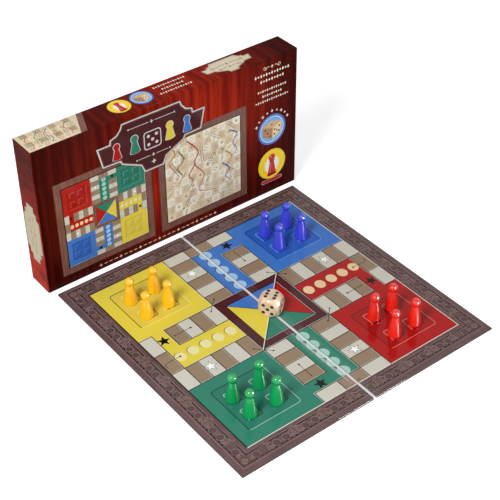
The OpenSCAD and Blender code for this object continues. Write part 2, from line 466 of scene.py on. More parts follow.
def die_wood():
    material, tree = new_material("die_wood")
    grain = use(tree, WOOD_GRAIN, Stretch=(60, 560, 560), Waviness=0.9)
    figure = grain["Figure"].smooth(0.3, 0.7)
    wood = mixed(tree, figure, rgb(208, 176, 140), rgb(234, 212, 184))
    shade = 1.0 - grain["Pores"].smooth(0.5, 0.72) * 0.22
    dress(tree, brightened(tree, wood, shade), 0.34 + grain["Pores"] * 0.12,
          grain["Pores"], 0.00006, 0.6,
          Specular_IOR_Level=0.35, Coat_Weight=0.3, Coat_Roughness=0.18)
    return material


def pip_paint():
    material, tree = new_material("pip_paint")
    brush = noise(tree, object_place(tree), 1400, 3)
    dress(tree, brightened(tree, rgb(22, 16, 14), 0.8 + brush * 0.5), 0.35 + brush * 0.25,
          brush, 0.00008)
    return material


def clear_tape():
    """Clear film: long milky streaks of trapped air that also paint the film's sheen, dust, a
    faint milky edge, and a painted highlight streak just left of the fold towards the front.
    """
    material, tree = new_material("clear_tape")
    place = object_place(tree)
    # Milky streaks along the tape: trapped air, and partly painted sheen.
    streaks = noise(tree, object_place(tree, (12, 0.4, 1)), 55, 4, 0.6)
    dust = noise(tree, place, 1800, 1).smooth(0.72, 0.78)
    across = axes(tree, place)[0] - BOARD_X
    rim = across.math("ABSOLUTE").smooth(TAPE_HALF * MM - 0.0008, TAPE_HALF * MM - 0.0004)
    # A milky streak just left of the fold towards the front: a painted highlight on the film.
    painted_highlight_streak = use(tree, SOFT_GLOW, Centre=(BOARD_X - 0.0068, -0.135, BOARD_TOP),
                 Reach=(0.0034, 0.09, 0.01))["Mask"]
    milk = 0.012 + streaks.smooth(0.6, 0.78) * 0.2 + dust * 0.12 + rim * 0.05 \
        + painted_highlight_streak.smooth(0.1, 0.7) * 0.24
    dress(tree, (0.9, 0.92, 0.94, 1), 0.12 + streaks * 0.15, streaks, 0.00008,
          Alpha=milk, Coat_Weight=0.6, Coat_Roughness=0.05)
    return material


def fold_white():
    """The bare paper strip under the tape: white, with darker pinkish-grey streaks along the fold
    that are painted shade in the gap.
    """
    material, tree = new_material("fold_white")
    fibre = use(tree, BOARD_FIBRE, Pulp=rgb(232, 230, 236), Specks=0.08)
    gap_shade_streaks = noise(tree, object_place(tree, (9, 0.6, 1)), 90, 3)
    # The darker pinkish-grey streaks mixed in here are painted shade in the gap.
    worn = mixed(tree, gap_shade_streaks.smooth(0.45, 0.7), fibre["Color"], rgb(212, 202, 210))
    dress(tree, worn, 0.6, fibre["Height"], 0.00006)
    return material


# ---------------------------------------------------------------- drawing flat prints

class Blank:
    """Shapes printed on a flat sheet, in millimetres. A later shape covers earlier ones."""

    def __init__(self):
        self.shapes = []

    def shape(self, ink, points):
        around = zip(points, points[1:] + points[:1])
        if sum(a[0] * b[1] - b[0] * a[1] for a, b in around) < 0:
            points = points[::-1]
        self.shapes.append((ink, points))

    def poly(self, ink, x, y, scale, *corners):
        """A shape with its corners given from x, y, in units of scale."""
        self.shape(ink, [(x + u * scale, y + v * scale) for u, v in corners])

    def rect(self, ink, x0, y0, x1, y1):
        self.shape(ink, [(x0, y0), (x1, y0), (x1, y1), (x0, y1)])

    def rounded(self, ink, x0, y0, x1, y1, r):
        self.shape(ink, round_corners(x0, y0, x1, y1, r, 4))

    def disc(self, ink, x, y, r, sides=40, height=1.0):
        self.shape(ink, [(x + r * math.cos(a), y + r * height * math.sin(a))
                         for a in (2 * math.pi * k / sides for k in range(sides))])

    def ring(self, ink, x, y, r, width, sides=12):
        self.line(ink, on_disc(x, y, r, 0, 360, sides)[:-1], width, closed=True)

    def star(self, ink, x, y, r, turn=0.0, points=5):
        corners = []
        for k in range(2 * points):
            a = math.pi / 2 + turn + math.pi * k / points
            reach = r if k % 2 == 0 else r * 0.42
            corners.append((x + reach * math.cos(a), y + reach * math.sin(a)))
        self.shape(ink, corners)

    def line(self, ink, points, width, closed=False):
        """A stroke with mitred joints. width is a number, or one for each point."""
        widths = width if isinstance(width, (list, tuple)) else [width] * len(points)
        count = len(points)
        edges = []
        for i, (x, y) in enumerate(points):
            before = points[i - 1] if closed or i else points[i]
            after = points[(i + 1) % count] if closed or i + 1 < count else points[i]
            into = Vector((x - before[0], y - before[1])).normalized()
            out = Vector((after[0] - x, after[1] - y)).normalized()
            mean = (into + out).normalized()
            lean = max(0.5, mean.dot(out if out.length else into))
            side = Vector((-mean.y, mean.x)) * (widths[i] / 2 / lean)
            edges.append(((x + side.x, y + side.y), (x - side.x, y - side.y)))
        for i in range(count if closed else count - 1):
            (a, b), (c, d) = edges[i], edges[(i + 1) % count]
            self.shape(ink, [a, b, d, c])

    def frame(self, outer, inner, *inks):
        """Four mitred rails between two loops of four corners, the inks in turn."""
        for k in range(4):
            n = (k + 1) % 4
            self.shape(inks[k % len(inks)], [outer[k], outer[n], inner[n], inner[k]])

    def put(self, other, place):
        for ink, points in other.shapes:
            self.shape(ink, [place(*p) for p in points])

    def cut(self):
        """Triangles that don't overlap: (points, triangles, the ink on top of each)."""
        points, faces = [], []
        for _, shape in self.shapes:
            faces.append(list(range(len(points), len(points) + len(shape))))
            points += [Vector(p) for p in shape]
        made, _, triangles, _, _, sources = delaunay_2d_cdt(
            points, [], faces, 1, 1e-4, True)
        kept = [(t, self.shapes[max(s)][0]) for t, s in zip(triangles, sources) if s]
        return [tuple(p) for p in made], kept


def square(w, d=None):
    """The corners of a rectangle round 0, 0, anticlockwise from the lower left."""
    d = w if d is None else d
    return [(-w, -d), (w, -d), (w, d), (-w, d)]


def quarter(x, y, turns):
    """A point turned clockwise by quarter turns."""
    for _ in range(turns % 4):
        x, y = y, -x
    return x, y


def on_disc(cx, cy, r, start, end, steps, growth=0.0):
    """Points along an arc in degrees, whose radius may grow from start to end."""
    points = []
    for k in range(steps + 1):
        a = math.radians(start + (end - start) * k / steps)
        reach = r * (1 + growth * k / steps)
        points.append((cx + reach * math.cos(a), cy + reach * math.sin(a)))
    return points


def round_corners(x0, y0, x1, y1, r, steps):
    """A rectangle's outline with round corners, anticlockwise from its upper right."""
    centres = ((x1 - r, y1 - r), (x0 + r, y1 - r), (x0 + r, y0 + r), (x1 - r, y0 + r))
    arcs = [on_disc(x, y, r, 90 * k, 90 * k + 90, steps) for k, (x, y) in enumerate(centres)]
    return sum(arcs, [])


def inset(outline, left, right, low, high):
    """A squared outline, drawn anticlockwise, with each kind of edge moved inwards."""
    moved = []
    for (px, py), (x, y), (nx, ny) in zip(outline[-1:] + outline[:-1], outline,
                                          outline[1:] + outline[:1]):
        dx = dy = 0.0
        for ax, ay, bx, by in ((px, py, x, y), (x, y, nx, ny)):
            if abs(bx - ax) > abs(by - ay):
                dy = low if bx > ax else -high
            else:
                dx = -right if by > ay else left
        moved.append((x + dx, y + dy))
    return moved


def sunk(blank, ink, outline, line):
    """A pressed-in field: dark along its left and top, light along its right and foot."""
    blank.shape("line_dark", outline)
    blank.shape("line_light", inset(outline, line, 0, 0, line))
    thin = line * 0.32
    blank.shape(ink, inset(outline, line, thin, thin, line))


def sunk_rect(blank, ink, a, b, line):
    (x0, x1), (y0, y1) = sorted((a[0], b[0])), sorted((a[1], b[1]))
    sunk(blank, ink, [(x0, y0), (x1, y0), (x1, y1), (x0, y1)], line)


def embossed_square(blank, home, x, y, side, r, dark, light, raised):
    """A rounded square, outlined light above and dark below if raised, and else sunk."""
    reach = side / 2
    ring = round_corners(x - reach, y - reach, x + reach, y + reach, r, 6)
    blank.shape(home + "_yard", ring)
    halves = (ring[3:18], ring[17:] + ring[:4])  # upper left, lower right
    blank.line(home + "_edge", halves[not raised], light)
    blank.line("line_dark", halves[raised], dark)


def arrow(blank, points, width=0.8, dot=1.5):
    blank.line("line_dark", points, width)
    blank.disc("line_dark", *points[-1], dot, 14)


def ludo_arm(blank, turns, home, line):
    """The arm that points away from the player, with its yard, turned clockwise."""
    row = (FIELD_HALF - CENTRE_HALF) / ARM_ROWS
    a, c, f = ARM_HALF, CENTRE_HALF, FIELD_HALF
    second, third = f - row, f - 2 * row

    def at(*points):
        return [quarter(x, y, turns) for x, y in points]

    sunk(blank, home + "_home", at((-a, c), (a, c), (a, third), (c, third), (c, c), (f, c),
                                   (f, f), (c, f), (c, second), (-a, second)), line)
    columns = ((-c, -a, ("cream", "taupe", "cream", "taupe", "cream", "taupe")),
               (-a, a, ("taupe",)),
               (a, c, ("cream", None, "taupe", "cream", "taupe", "cream")))
    for x0, x1, cells in columns:
        for k, ink in enumerate(cells):
            if ink:
                sunk_rect(blank, ink, *at((x0, f - (k + 1) * row), (x1, f - k * row)), line)
    rx, ry = (7.5, 8.3) if turns % 2 else (9.1, 8.4)
    for k in range(1, ARM_ROWS):
        x, y = quarter(0, f - (k + 0.425) * row, turns)
        blank.disc("line_dark", x - 0.55, y + 0.55, rx, 44, ry / rx)
        blank.disc(home + "_spot", x + 0.1, y - 0.1, rx, 44, ry / rx)
    arrow(blank, at((-7, 168.8), (-1.6, 168.4), (0.1, 167.3), (0.8, 165.2), (0.8, 144.3)))
    arrow(blank, at((36.7, 127.5), (36.7, 102.5)))
    blank.disc("line_dark", *quarter(36.7, 127.5, turns), 1.0, 12)
    for s in (-1, 1):
        arrow(blank, at((s * c, c), (s * 45.4, 63.2)), dot=1.3)
    for x, y, ink, r in ((36.7, 144.6, "star_black", 9.6), (-37.0, 124.6, "line_dark", 10.2),
                         (-37.0, 124.6, "cream", 9.2), (-37.0, 124.6, "line_white", 7.2)):
        blank.star(ink, *quarter(x, y, turns), r, math.pi - turns * math.pi / 2)


def ludo_field(homes, line=LINE, middle=("maroon", "maroon_shade")):
    """The whole playing field. homes names the colours of the far arm and on clockwise."""
    blank = Blank()
    f, c, t = FIELD_HALF, CENTRE_HALF, TRIANGLE_HALF
    blank.rect("line_dark", -f - 0.5, -f - 0.6, f + 0.6, f + 0.5)
    blank.rect("line_light", -f, -f - 0.6, f + 0.6, f)
    edge = line * 0.8
    for turns, home in enumerate(homes):
        ludo_arm(blank, turns, home, line)
        x, y = quarter(YARD_MID, YARD_MID, turns)
        embossed_square(blank, home, x, y, YARD_FRAME, YARD_ROUND, edge, line * 0.55, False)
        for dx in (-0.5, 0.5):
            for dy in (-0.5, 0.5):
                sx, sy = quarter(dx * SPOT_LONG, dy * SPOT_SHORT, turns)
                embossed_square(blank, home, x + sx, y + sy, SPOT_SQUARE, SPOT_ROUND,
                                edge, edge, True)
    sunk_rect(blank, middle[0], (-c, -c), (c, c), line)
    sunk_rect(blank, middle[1], (-t, -t), (t, t), line)
    inner = t - line
    for turns, home in enumerate(homes):
        blank.shape(home + "_home", [quarter(x, y, turns) for x, y in
                                     ((0, 0), (inner, inner), (-inner, inner))])
    blank.line("line_dark", [(-c, c), (c, -c)], line * 0.7)
    for ink, move in (("line_dark", -0.5), ("line_light", 0.3)):
        m = move * line
        blank.line(ink, [(-c - m, -c + m), (c - m, c + m)], edge)
    return blank


def border_base(blank, worn=0.9):
    """The border's mitred rails, the lines between them and a darker band along the sheet's rim.
    """
    w, d = BOARD_HALF_W, BOARD_HALF_D
    for gap in (-1, 1):
        fold = gap * FOLD_HALF
        blank.rect("border_band", min(fold, gap * w), -d, max(fold, gap * w), d)

    def loop(depth):
        return [(PRINT_OFF_X + x, PRINT_OFF_Y + y) for x, y in square(PRINT_HALF - depth)]

    blank.frame(square(w, d), loop(6.8), "border_long", "border_short")
    # A band of darker ink along the sheet's outer rim.
    blank.frame(square(w, d), square(w - worn, d - worn), "border_disc")
    blank.frame(loop(6.8), loop(9.2), "rail_light")
    blank.frame(loop(24.4), loop(PRINT_HALF - FIELD_HALF), "border_long", "border_short")
    blank.line("border_line", loop(9.7), 1.3, closed=True)


def hump(blank, s):
    blank.shape("ink", [(s - 2.7, 10.1), (s + 2.7, 10.1), (s + 0.5, 11.9), (s - 0.5, 11.9)])


def ornament_motif(layer):
    """One run of the border's ornament, along X from the print's edge at Y 0."""
    blank = Blank()
    mid, half = ORNAMENT_MID, ORNAMENT_PITCH / 2
    humps = [ORNAMENT_PITCH * (k - 2.5) / 6 for k in range(6)]
    if layer == "discs":
        for s in (-DISC_OFF, DISC_OFF):
            blank.disc("ink", s, mid, 5.0, 28)
        return blank
    if layer == "marks":
        blank.rect("ink", -15.2, 22.3, 15.2, 23.8)
        for s in humps:
            hump(blank, s)
        return blank
    blank.line("ink", [(-15.2, 24.6), (15.2, 24.6)], 0.4)
    for s in humps:
        if abs(s) > 12:
            blank.line("ink", [(s - 3.2, 10.7), (s - 0.5, 12.6), (s + 0.5, 12.6),
                               (s + 3.2, 10.7)], 0.45)
    for side in (-1, 1):
        blank.ring("ink", side * DISC_OFF, mid, 5.4, 0.5)
        low = -90 - 90 * side
        blank.line("ink", on_disc(side * 14.4, 14.2, 1.1, low, low + side * 330, 14, 0.9), 0.5)
        for width, *path in ((0.5, (12.6, 19.6), (14.6, 20.6), (16.4, 22.6), (18.2, 23.4)),
                             (0.5, (17.6, 12.8), (17.6, 20.6)),
                             (0.5, (20.2, 12.8), (20.2, 20.6)),
                             (0.5, (17.6, 20.6), (19.6, 22.9), (half, 23.8)),
                             (0.45, (19.2, 25.4), (half, 26.6))):
            blank.line("ink", [(side * x, y) for x, y in path], width)
    return blank


def corner_motif(layer):
    """The border's corner, from the print's corner at 0, 0 along +X and +Y."""
    blank = Blank()
    mid, first = ORNAMENT_MID, PRINT_HALF - 4 * ORNAMENT_PITCH + DISC_OFF
    draw = Blank()
    if layer == "discs":
        draw.disc("ink", first, mid, 5.0, 28)
    elif layer == "marks":
        draw.rect("ink", 22.3, 22.3, 41.4, 23.8)
        for k in range(3):
            hump(draw, PRINT_HALF - ORNAMENT_PITCH * (k + 21.5) / 6)
    else:
        draw.ring("ink", first, mid, 5.4, 0.5)
        draw.line("ink", on_disc(first - 7.3, 14.6, 1.1, 0, -330, 14, 0.9), 0.5)
        draw.line("ink", [(25.2, 24.6), (41.0, 24.6)], 0.4)
        draw.line("ink", [(first - 5.4, 19.8), (first - 8.4, 21.2)], 0.5)
    blank.shapes += draw.shapes
    blank.put(draw, lambda x, y: (y, x))
    if layer == "relief":
        for r in (2.4, 4.6):
            blank.line("ink", [(mid + r, mid), (mid, mid + r), (mid - r, mid),
                               (mid, mid - r)], 0.45, closed=True)
    return blank


# ---------------------------------------------------------------- meshes from prints

def finish_mesh(bm, name, materials):
    mesh = bpy.data.meshes.new(name)
    bm.to_mesh(mesh)
    bm.free()
    for material in materials:
        mesh.materials.append(material)
    return mesh


def flat_mesh(blank, name):
    """A print of one ink as a flat mesh in metres, seen from above."""
    points, kept = blank.cut()
    mesh = bpy.data.meshes.new(name)
    mesh.from_pydata([(x * MM, y * MM, 0) for x, y in points], [], [t for t, _ in kept])
    return mesh


def inked_faces(points, kept, place, last):
    """The kept triangles at their places: (bmesh, slot number of each ink, materials).
    The ink named last has the last slot."""
    names = sorted({ink for _, ink in kept} - {last}) + [last]
    slots = {n: i for i, n in enumerate(names)}
    bm = bmesh.new()
    verts = {}
    for triangle, ink in kept:
        corners = []
        for i in triangle:
            if i not in verts:
                verts[i] = bm.verts.new(place(*points[i]))
            corners.append(verts[i])
        bm.faces.new(corners).material_index = slots[ink]
    return bm, slots, [INKS[n] for n in names]


def printed_plate(name, cut, sign, fold, z, depth, rim_ink, round_edges=None):
    """One leaf's half of a cut print, on the sign side of fold in millimetres, as a plate
    with its face at z. depth is its thickness, downwards if positive, and round_edges says
    which way a rim point is rounded off."""
    points, kept = cut
    kept = [(t, ink) for t, ink in kept if sum(points[i][0] for i in t) / 3 * sign > fold]
    bm, slots, materials = inked_faces(points, kept, board_place(z), rim_ink)
    rim = [e for e in bm.edges if e.is_boundary]
    r = EDGE_ROUND * MM
    turns = [math.pi / 6 * k for k in (1, 2, 3)]
    rounds = [(r * math.sin(a), r * (1 - math.cos(a))) for a in turns] + [(r, depth)]
    ring = {v: v for e in rim for v in e.verts}
    rest = {v: v.co.copy() for v in ring}
    owners = {e: e.link_faces[0] for e in rim}
    for out, down in rounds if round_edges else [(0, depth)]:
        lower = {}
        for v in ring:
            side = round_edges(rest[v]) if round_edges else Vector()
            lower[v] = bm.verts.new(rest[v] + side * out - Vector((0, 0, down)))
        for e in rim:
            a, b = e.verts
            face = bm.faces.new((ring[a], ring[b], lower[b], lower[a]))
            face.material_index = slots[rim_ink] if down == depth \
                else owners[e].material_index
        ring = lower
    ends = [bm.edges.get((ring[e.verts[0]], ring[e.verts[1]])) for e in rim]
    bmesh.ops.holes_fill(bm, edges=ends)
    for f in bm.faces:
        if len(f.verts) > 4:
            f.material_index = slots[rim_ink]
    bmesh.ops.recalc_face_normals(bm, faces=bm.faces)
    return link_object(name, finish_mesh(bm, name, materials))


INKS = make_inks()


def board_place(z):
    return lambda x, y: Vector((BOARD_X + x * MM, BOARD_Y + y * MM, z))


def edge_side(p):
    """Outward direction of a board rim point, none along the fold."""
    w, d = BOARD_HALF_W * MM - 0.0006, BOARD_HALF_D * MM - 0.0006
    x, y = p.x - BOARD_X, p.y - BOARD_Y
    return Vector((math.copysign(abs(x) > w, x), math.copysign(abs(y) > d, y), 0))


def lay_ludo_print():
    """The ludo sheets: the print on each leaf, and the wrap down its three outer edges."""
    blank = Blank()
    w, d = BOARD_HALF_W - EDGE_ROUND, BOARD_HALF_D - EDGE_ROUND
    for sign in (1, -1):  # slivers that keep the rim straight along the fold
        x = sign * FOLD_HALF
        blank.shape("border_band", [(x, -d), (sign * (FOLD_HALF + 0.01), d), (x, d)])
    whole = Blank()
    border_base(whole)
    whole.put(ludo_field(("blue", "red", "green", "yellow")),
              lambda x, y: (x + PRINT_OFF_X, y + PRINT_OFF_Y))
    blank.put(whole, lambda x, y: (max(-w, min(w, x)), max(-d, min(d, y))))
    cut = blank.cut()
    depth = 0.5 * MM
    for side, sign in HALVES:
        piece = printed_plate(f"ludo_print_{side}", cut, sign, FOLD_HALF, BOARD_TOP, depth,
                              "border_line", edge_side)
        add_wrap(piece, sign, BOARD_TOP - depth)
        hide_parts(f"ludo_sheet_{side}")
        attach(piece, f"board_{side}")


def add_wrap(piece, sign, top, thick=0.3):
    """Joins the wrap of the ludo sheet to its piece: a U round the leaf's outer edges."""
    w, d, f = BOARD_HALF_W, BOARD_HALF_D, FOLD_HALF
    outline = [(f, -d), (w, -d), (w, d), (f, d), (f, d - thick), (w - thick, d - thick),
               (w - thick, -d + thick), (f, -d + thick)]
    bm = bmesh.new()
    bm.from_mesh(piece.data)
    place = board_place(0)
    low = [bm.verts.new(place(sign * x, y)) for x, y in outline]
    high = [bm.verts.new(v.co + Vector((0, 0, top))) for v in low]
    made = [bm.faces.new(low), bm.faces.new(high)]
    for i in range(len(low)):
        k = (i + 1) % len(low)
        made.append(bm.faces.new((low[i], low[k], high[k], high[i])))
    for face in made:
        face.material_index = len(piece.data.materials) - 1
    bmesh.ops.recalc_face_normals(bm, faces=made)
    bm.to_mesh(piece.data)
    bm.free()


# ---------------------------------------------------------------- Geometry Nodes pieces

def turned_pawn(tree, given):
    """A turned pawn: hollow under the foot, bell body, narrow neck and ball head."""
    grid = add(tree, "GeometryNodeMeshGrid", Size_X=1.0, Size_Y=1.0,
               Vertices_X=given["Sides"] + 1, Vertices_Y=given["Rings"])
    x, y, _ = axes(tree, add(tree, "GeometryNodeInputPosition"))
    angle, along = (x + 0.5) * (2 * math.pi), y + 0.5

    def stretch(start, end):
        return ((along - start) / (end - start)).clamp()

    foot, neck, head = (given[n + " Diameter"] / 2 for n in ("Foot", "Neck", "Head"))
    foot_z, tuck, wall = given["Foot Height"], given["Foot Tuck"], given["Wall"]
    head_z = given["Height"] - head
    neck_z = head_z - (head * head - neck * neck).math("SQRT")

    def bell(z):
        u = (z - foot_z) / (neck_z - foot_z)
        return neck + (foot - neck) * ((1.0 - u) + (u * (math.pi / 2)).math("COSINE")) / 2

    inside = stretch(0.0, 0.2)
    inside_z = (neck_z - wall * 2.0) * (1.0 - inside)
    inside_r = (bell(inside_z) - wall) * (inside * 14.0).clamp()
    turn = stretch(0.22, 0.32) * (math.pi / 2)
    foot_at = foot_z * (1.0 - turn.math("COSINE"))
    foot_r = foot - tuck * (1.0 - turn.math("SINE"))
    bell_z = foot_z + (neck_z - foot_z) * stretch(0.32, 0.66)
    start = (neck / head).math("ARCSINE")
    swing = start + (math.pi - start) * stretch(0.66, 1.0)
    radius = head * swing.math("SINE")
    height = head_z - head * swing.math("COSINE")
    for limit, r, z in ((0.66, bell(bell_z), bell_z), (0.32, foot_r, foot_at),
                        (0.21, inside_r, inside_z)):
        past = along.above(limit)
        radius, height = past.choose(radius, r), past.choose(height, z)
    spot = add(tree, "ShaderNodeCombineXYZ", radius * angle.math("COSINE"),
               radius * angle.math("SINE"), height)
    moved = add(tree, "GeometryNodeSetPosition", Geometry=grid, Position=spot)
    welded = add(tree, "GeometryNodeMergeByDistance", Geometry=moved, Distance=0.00001)
    smooth = add(tree, "GeometryNodeSetShadeSmooth", Geometry=welded)
    return inked(tree, smooth, given["Plastic"])


def inked(tree, geometry, material):
    return {"Geometry": add(tree, "GeometryNodeSetMaterial", Geometry=geometry,
                            Material=material)}


def grown(tree, name, **values):
    """The plain mesh that a Geometry Nodes tree makes with these named inputs."""
    carrier = link_object(name + "_carrier", bpy.data.meshes.new(name + "_carrier"))
    modifier = carrier.modifiers.new(name, "NODES")
    modifier.node_group = tree
    values = {n.replace("_", " "): v for n, v in values.items()}
    for item in tree.interface.items_tree:
        if item.item_type == "SOCKET" and item.in_out == "INPUT" and item.name in values:
            modifier[item.identifier] = values[item.name]
    mesh = applied(carrier)
    mesh.name = name
    bpy.data.objects.remove(carrier)
    return mesh


def applied(piece):
    """The mesh that a piece's modifiers make, which then come off it."""
    graph = bpy.context.evaluated_depsgraph_get()
    mesh = bpy.data.meshes.new_from_object(piece.evaluated_get(graph),
                                           preserve_all_data_layers=True, depsgraph=graph)
    piece.modifiers.clear()
    return mesh


def facing_out(mesh):
    bm = bmesh.new()
    bm.from_mesh(mesh)
    bmesh.ops.remove_doubles(bm, verts=bm.verts, dist=1e-6)
    bmesh.ops.recalc_face_normals(bm, faces=bm.faces)
    bm.to_mesh(mesh)
    bm.free()


def set_pawns():
    tree = new_group(turned_pawn, {
        "Geometry": "Geometry", "Height": 0.041, "Foot Diameter": 0.019,
        "Foot Height": 0.0025, "Foot Tuck": 0.0012, "Neck Diameter": 0.0084,
        "Head Diameter": 0.0124, "Wall": 0.0016, "Sides": 64, "Rings": 96,
        "Plastic": "Material"}, "GeometryNodeTree")
    colours = {"yellow": rgb(254, 190, 20), "blue": rgb(62, 70, 214),
               "red": rgb(236, 36, 22), "green": rgb(12, 160, 86)}
    for colour, ink in colours.items():
        mesh = grown(tree, f"pawn_{colour}", Plastic=pawn_plastic(f"pawn_{colour}_plastic", ink))
        facing_out(mesh)
        for i in range(1, 5):
            node = f"pawn_{colour}_{i}"
            low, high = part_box(node)
            foot = Vector(((low.x + high.x) / 2, (low.y + high.y) / 2, low.z))
            data = mesh.copy()
            data.transform(Matrix.Rotation(1.1 * i, 4, "Z"))
            data.transform(Matrix.Translation(foot))
            piece = link_object(f"{node}_moulding", data)
            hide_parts(node)
            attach(piece, node)


def border_run(tree, given):
    """Runs a motif along the four sides of a square, and another into its corners."""
    start = add(tree, "ShaderNodeCombineXYZ", (given["Runs"] - 1.0) * given["Pitch"] * -0.5)
    spots = add(tree, "GeometryNodeMeshLine", Count=given["Runs"], Start_Location=start,
                Offset=add(tree, "ShaderNodeCombineXYZ", given["Pitch"]))
    motif, corner = (add(tree, "GeometryNodeObjectInfo", out="Geometry", Object=given[n])
                     for n in ("Motif", "Corner"))
    run = add(tree, "GeometryNodeInstanceOnPoints", Points=spots, Instance=motif)
    join = tree.nodes.new("GeometryNodeJoinGeometry")
    half = given["Half"]
    for k, (x, y) in enumerate(((0, -1), (1, 0), (0, 1), (-1, 0))):
        for piece, sx, sy in ((run, x, y), (corner, x + y, y - x)):
            spot = add(tree, "ShaderNodeCombineXYZ", half * sx, half * sy)
            moved = add(tree, "GeometryNodeTransform", Geometry=piece, Translation=spot,
                        Rotation=(0, 0, k * math.pi / 2))
            tree.links.new(moved.socket, join.inputs[0])
    real = add(tree, "GeometryNodeRealizeInstances", Geometry=join.outputs[0])
    return inked(tree, real, given["Ink"])


def lay_border_ornament():
    tree = new_group(border_run, {
        "Geometry": "Geometry", "Motif": "Object", "Corner": "Object",
        "Runs": ORNAMENT_RUNS, "Pitch": ORNAMENT_PITCH * MM, "Half": PRINT_HALF * MM,
        "Ink": "Material"}, "GeometryNodeTree")
    for layer, ink in (("relief", "border_relief"), ("discs", "border_disc"),
                       ("marks", "border_line")):
        name = "border_" + layer
        motif = link_object(name + "_motif", flat_mesh(ornament_motif(layer), name))
        corner = link_object(name + "_corner", flat_mesh(corner_motif(layer), name))
        mesh = grown(tree, name, Motif=motif, Corner=corner, Ink=INKS[ink])
        for helper in (motif, corner):
            bpy.data.objects.remove(helper)
        mesh.transform(Matrix.Translation(board_place(BOARD_TOP)(PRINT_OFF_X, PRINT_OFF_Y)))
        for side, sign in HALVES:
            half = mesh.copy()
            cut_at_fold(half, sign)
            piece = link_object(f"{name}_{side}", half)
            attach(piece, f"board_{side}")


def cut_at_fold(mesh, sign, thickness=0.05 * MM):
    """Keeps one leaf's side of a flat print and gives it the thickness of its ink."""
    bm = bmesh.new()
    bm.from_mesh(mesh)
    everything = bm.verts[:] + bm.edges[:] + bm.faces[:]
    bmesh.ops.bisect_plane(bm, geom=everything, dist=1e-7,
                           plane_co=(BOARD_X + sign * FOLD_HALF * MM, 0, 0),
                           plane_no=(-sign, 0, 0), clear_outer=True)
    for face in bm.faces:
        if face.normal.z < 0:
            face.normal_flip()
    rim = [e for e in bm.edges if e.is_boundary]
    low = {v: bm.verts.new(v.co.copy()) for v in bm.verts[:]}
    for face in bm.faces[:]:
        bm.faces.new([low[v] for v in reversed(face.verts)])
    for e in rim:
        a, b = e.verts
        bm.faces.new((a, b, low[b], low[a]))
    for v in low:
        v.co.z += thickness
    bmesh.ops.recalc_face_normals(bm, faces=bm.faces)
    bm.to_mesh(mesh)
    bm.free()


# ---------------------------------------------------------------- underside, fold and tape

SNAKES = (  # ink, then the squares (column, row) it winds through, head first
    ("snake_red", [(3.0, 9.4), (4.3, 7.7), (3.8, 6.2), (5.0, 4.4), (4.3, 2.6), (6.6, 1.8)]),
    ("snake_green", [(7.6, 6.6), (6.2, 6.0), (6.2, 4.9), (7.4, 3.9), (6.9, 2.5)]),
    ("snake_blue", [(8.6, 8.6), (9.6, 7.9), (9.0, 6.9), (9.5, 5.9), (8.8, 5.1)]),
    ("snake_ochre", [(8.1, 6.1), (8.8, 5.2), (8.2, 4.2), (9.4, 3.0)]),
    ("snake_red", [(1.5, 5.2), (0.7, 4.2), (1.6, 3.2), (0.7, 2.3), (1.8, 1.5)]),
    ("snake_green", [(1.8, 8.6), (2.4, 7.4), (1.6, 6.5), (2.2, 5.3), (1.6, 4.4)]),
    ("snake_red", [(3.9, 6.2), (3.0, 5.0), (3.5, 4.2), (2.9, 3.2)]),
    ("snake_ochre", [(5.9, 8.4), (5.1, 7.5), (5.8, 6.7), (5.3, 5.9)]),
    ("snake_blue", [(7.6, 4.7), (8.4, 3.8), (7.9, 3.0), (8.7, 2.0)]),
    ("snake_ochre", [(0.9, 9.5), (1.3, 8.4), (0.5, 7.6), (1.0, 6.5)]),
    ("snake_green", [(2.1, 1.0), (3.5, 1.3), (4.6, 0.6), (6.1, 1.0)]),
)
LADDERS = (((0.6, 7.6), (1.9, 5.4)), ((2.7, 8.9), (1.9, 6.2)), ((5.7, 9.4), (7.2, 8.3)),
           ((5.4, 5.2), (6.9, 7.5)), ((3.2, 3.3), (4.0, 5.6)), ((7.4, 0.8), (8.9, 2.9)),
           ((2.6, 1.5), (3.6, 3.2)), ((8.2, 6.8), (7.2, 9.4)), ((0.5, 0.8), (0.9, 2.0)),
           ((4.9, 6.0), (4.7, 8.2)), ((9.5, 0.6), (9.3, 2.4)), ((5.2, 2.6), (5.7, 4.3)),
           ((9.4, 8.7), (8.5, 9.6)), ((3.7, 0.4), (5.0, 1.9)), ((0.4, 5.6), (1.3, 6.4)))


def snakes_field(half):
    """Ten by ten squares with snakes and ladders wound between them."""
    blank = Blank()
    cell = half / 5
    blank.rect("line_dark", -half - 0.6, -half - 0.6, half + 0.6, half + 0.6)
    blank.rect("square_cream", -half, -half, half, half)

    def at(p):
        return -half + p[0] * cell, -half + p[1] * cell

    for column in range(10):
        for row in range(10):
            low, high = at((column, row)), at((column + 1, row + 1))
            if (column * 7 + row * 5 + column * row) % 4 == 0 or (column + row) % 2:
                ink = ("square_tan", "square_ochre")[(column + 2 * row) % 3 == 0]
                blank.rect(ink, *low, *high)
            sketch(blank, column, row, (low[0] + high[0]) / 2, (low[1] + high[1]) / 2, cell)
    for k, (low, high) in enumerate(LADDERS):
        ladder(blank, ("ladder_brown", "sketch_tan", "sketch_grey")[k % 3], at(low), at(high),
               cell)
    for k, (ink, squares) in enumerate(SNAKES):
        spine = wound([at(p) for p in squares], 7)
        count = len(spine)
        if k % 3 == 1:
            for n, (x, y) in enumerate(spine):
                blank.disc(ink if n % 2 else "line_light", x, y,
                           cell * (0.075 - 0.035 * n / count), 10)
        else:
            widths = [cell * (0.13 - 0.09 * n / count) for n in range(count)]
            blank.line("line_dark", spine, [w * 1.3 for w in widths])
            blank.line(ink, spine, widths)
            for n in range(2, count - 4, 3):
                blank.disc("line_light", *spine[n], widths[n] * 0.22, 8)
        blank.disc(ink, *spine[0], cell * 0.13, 16)
        blank.disc("line_light", *spine[0], cell * 0.045, 8)
    return blank


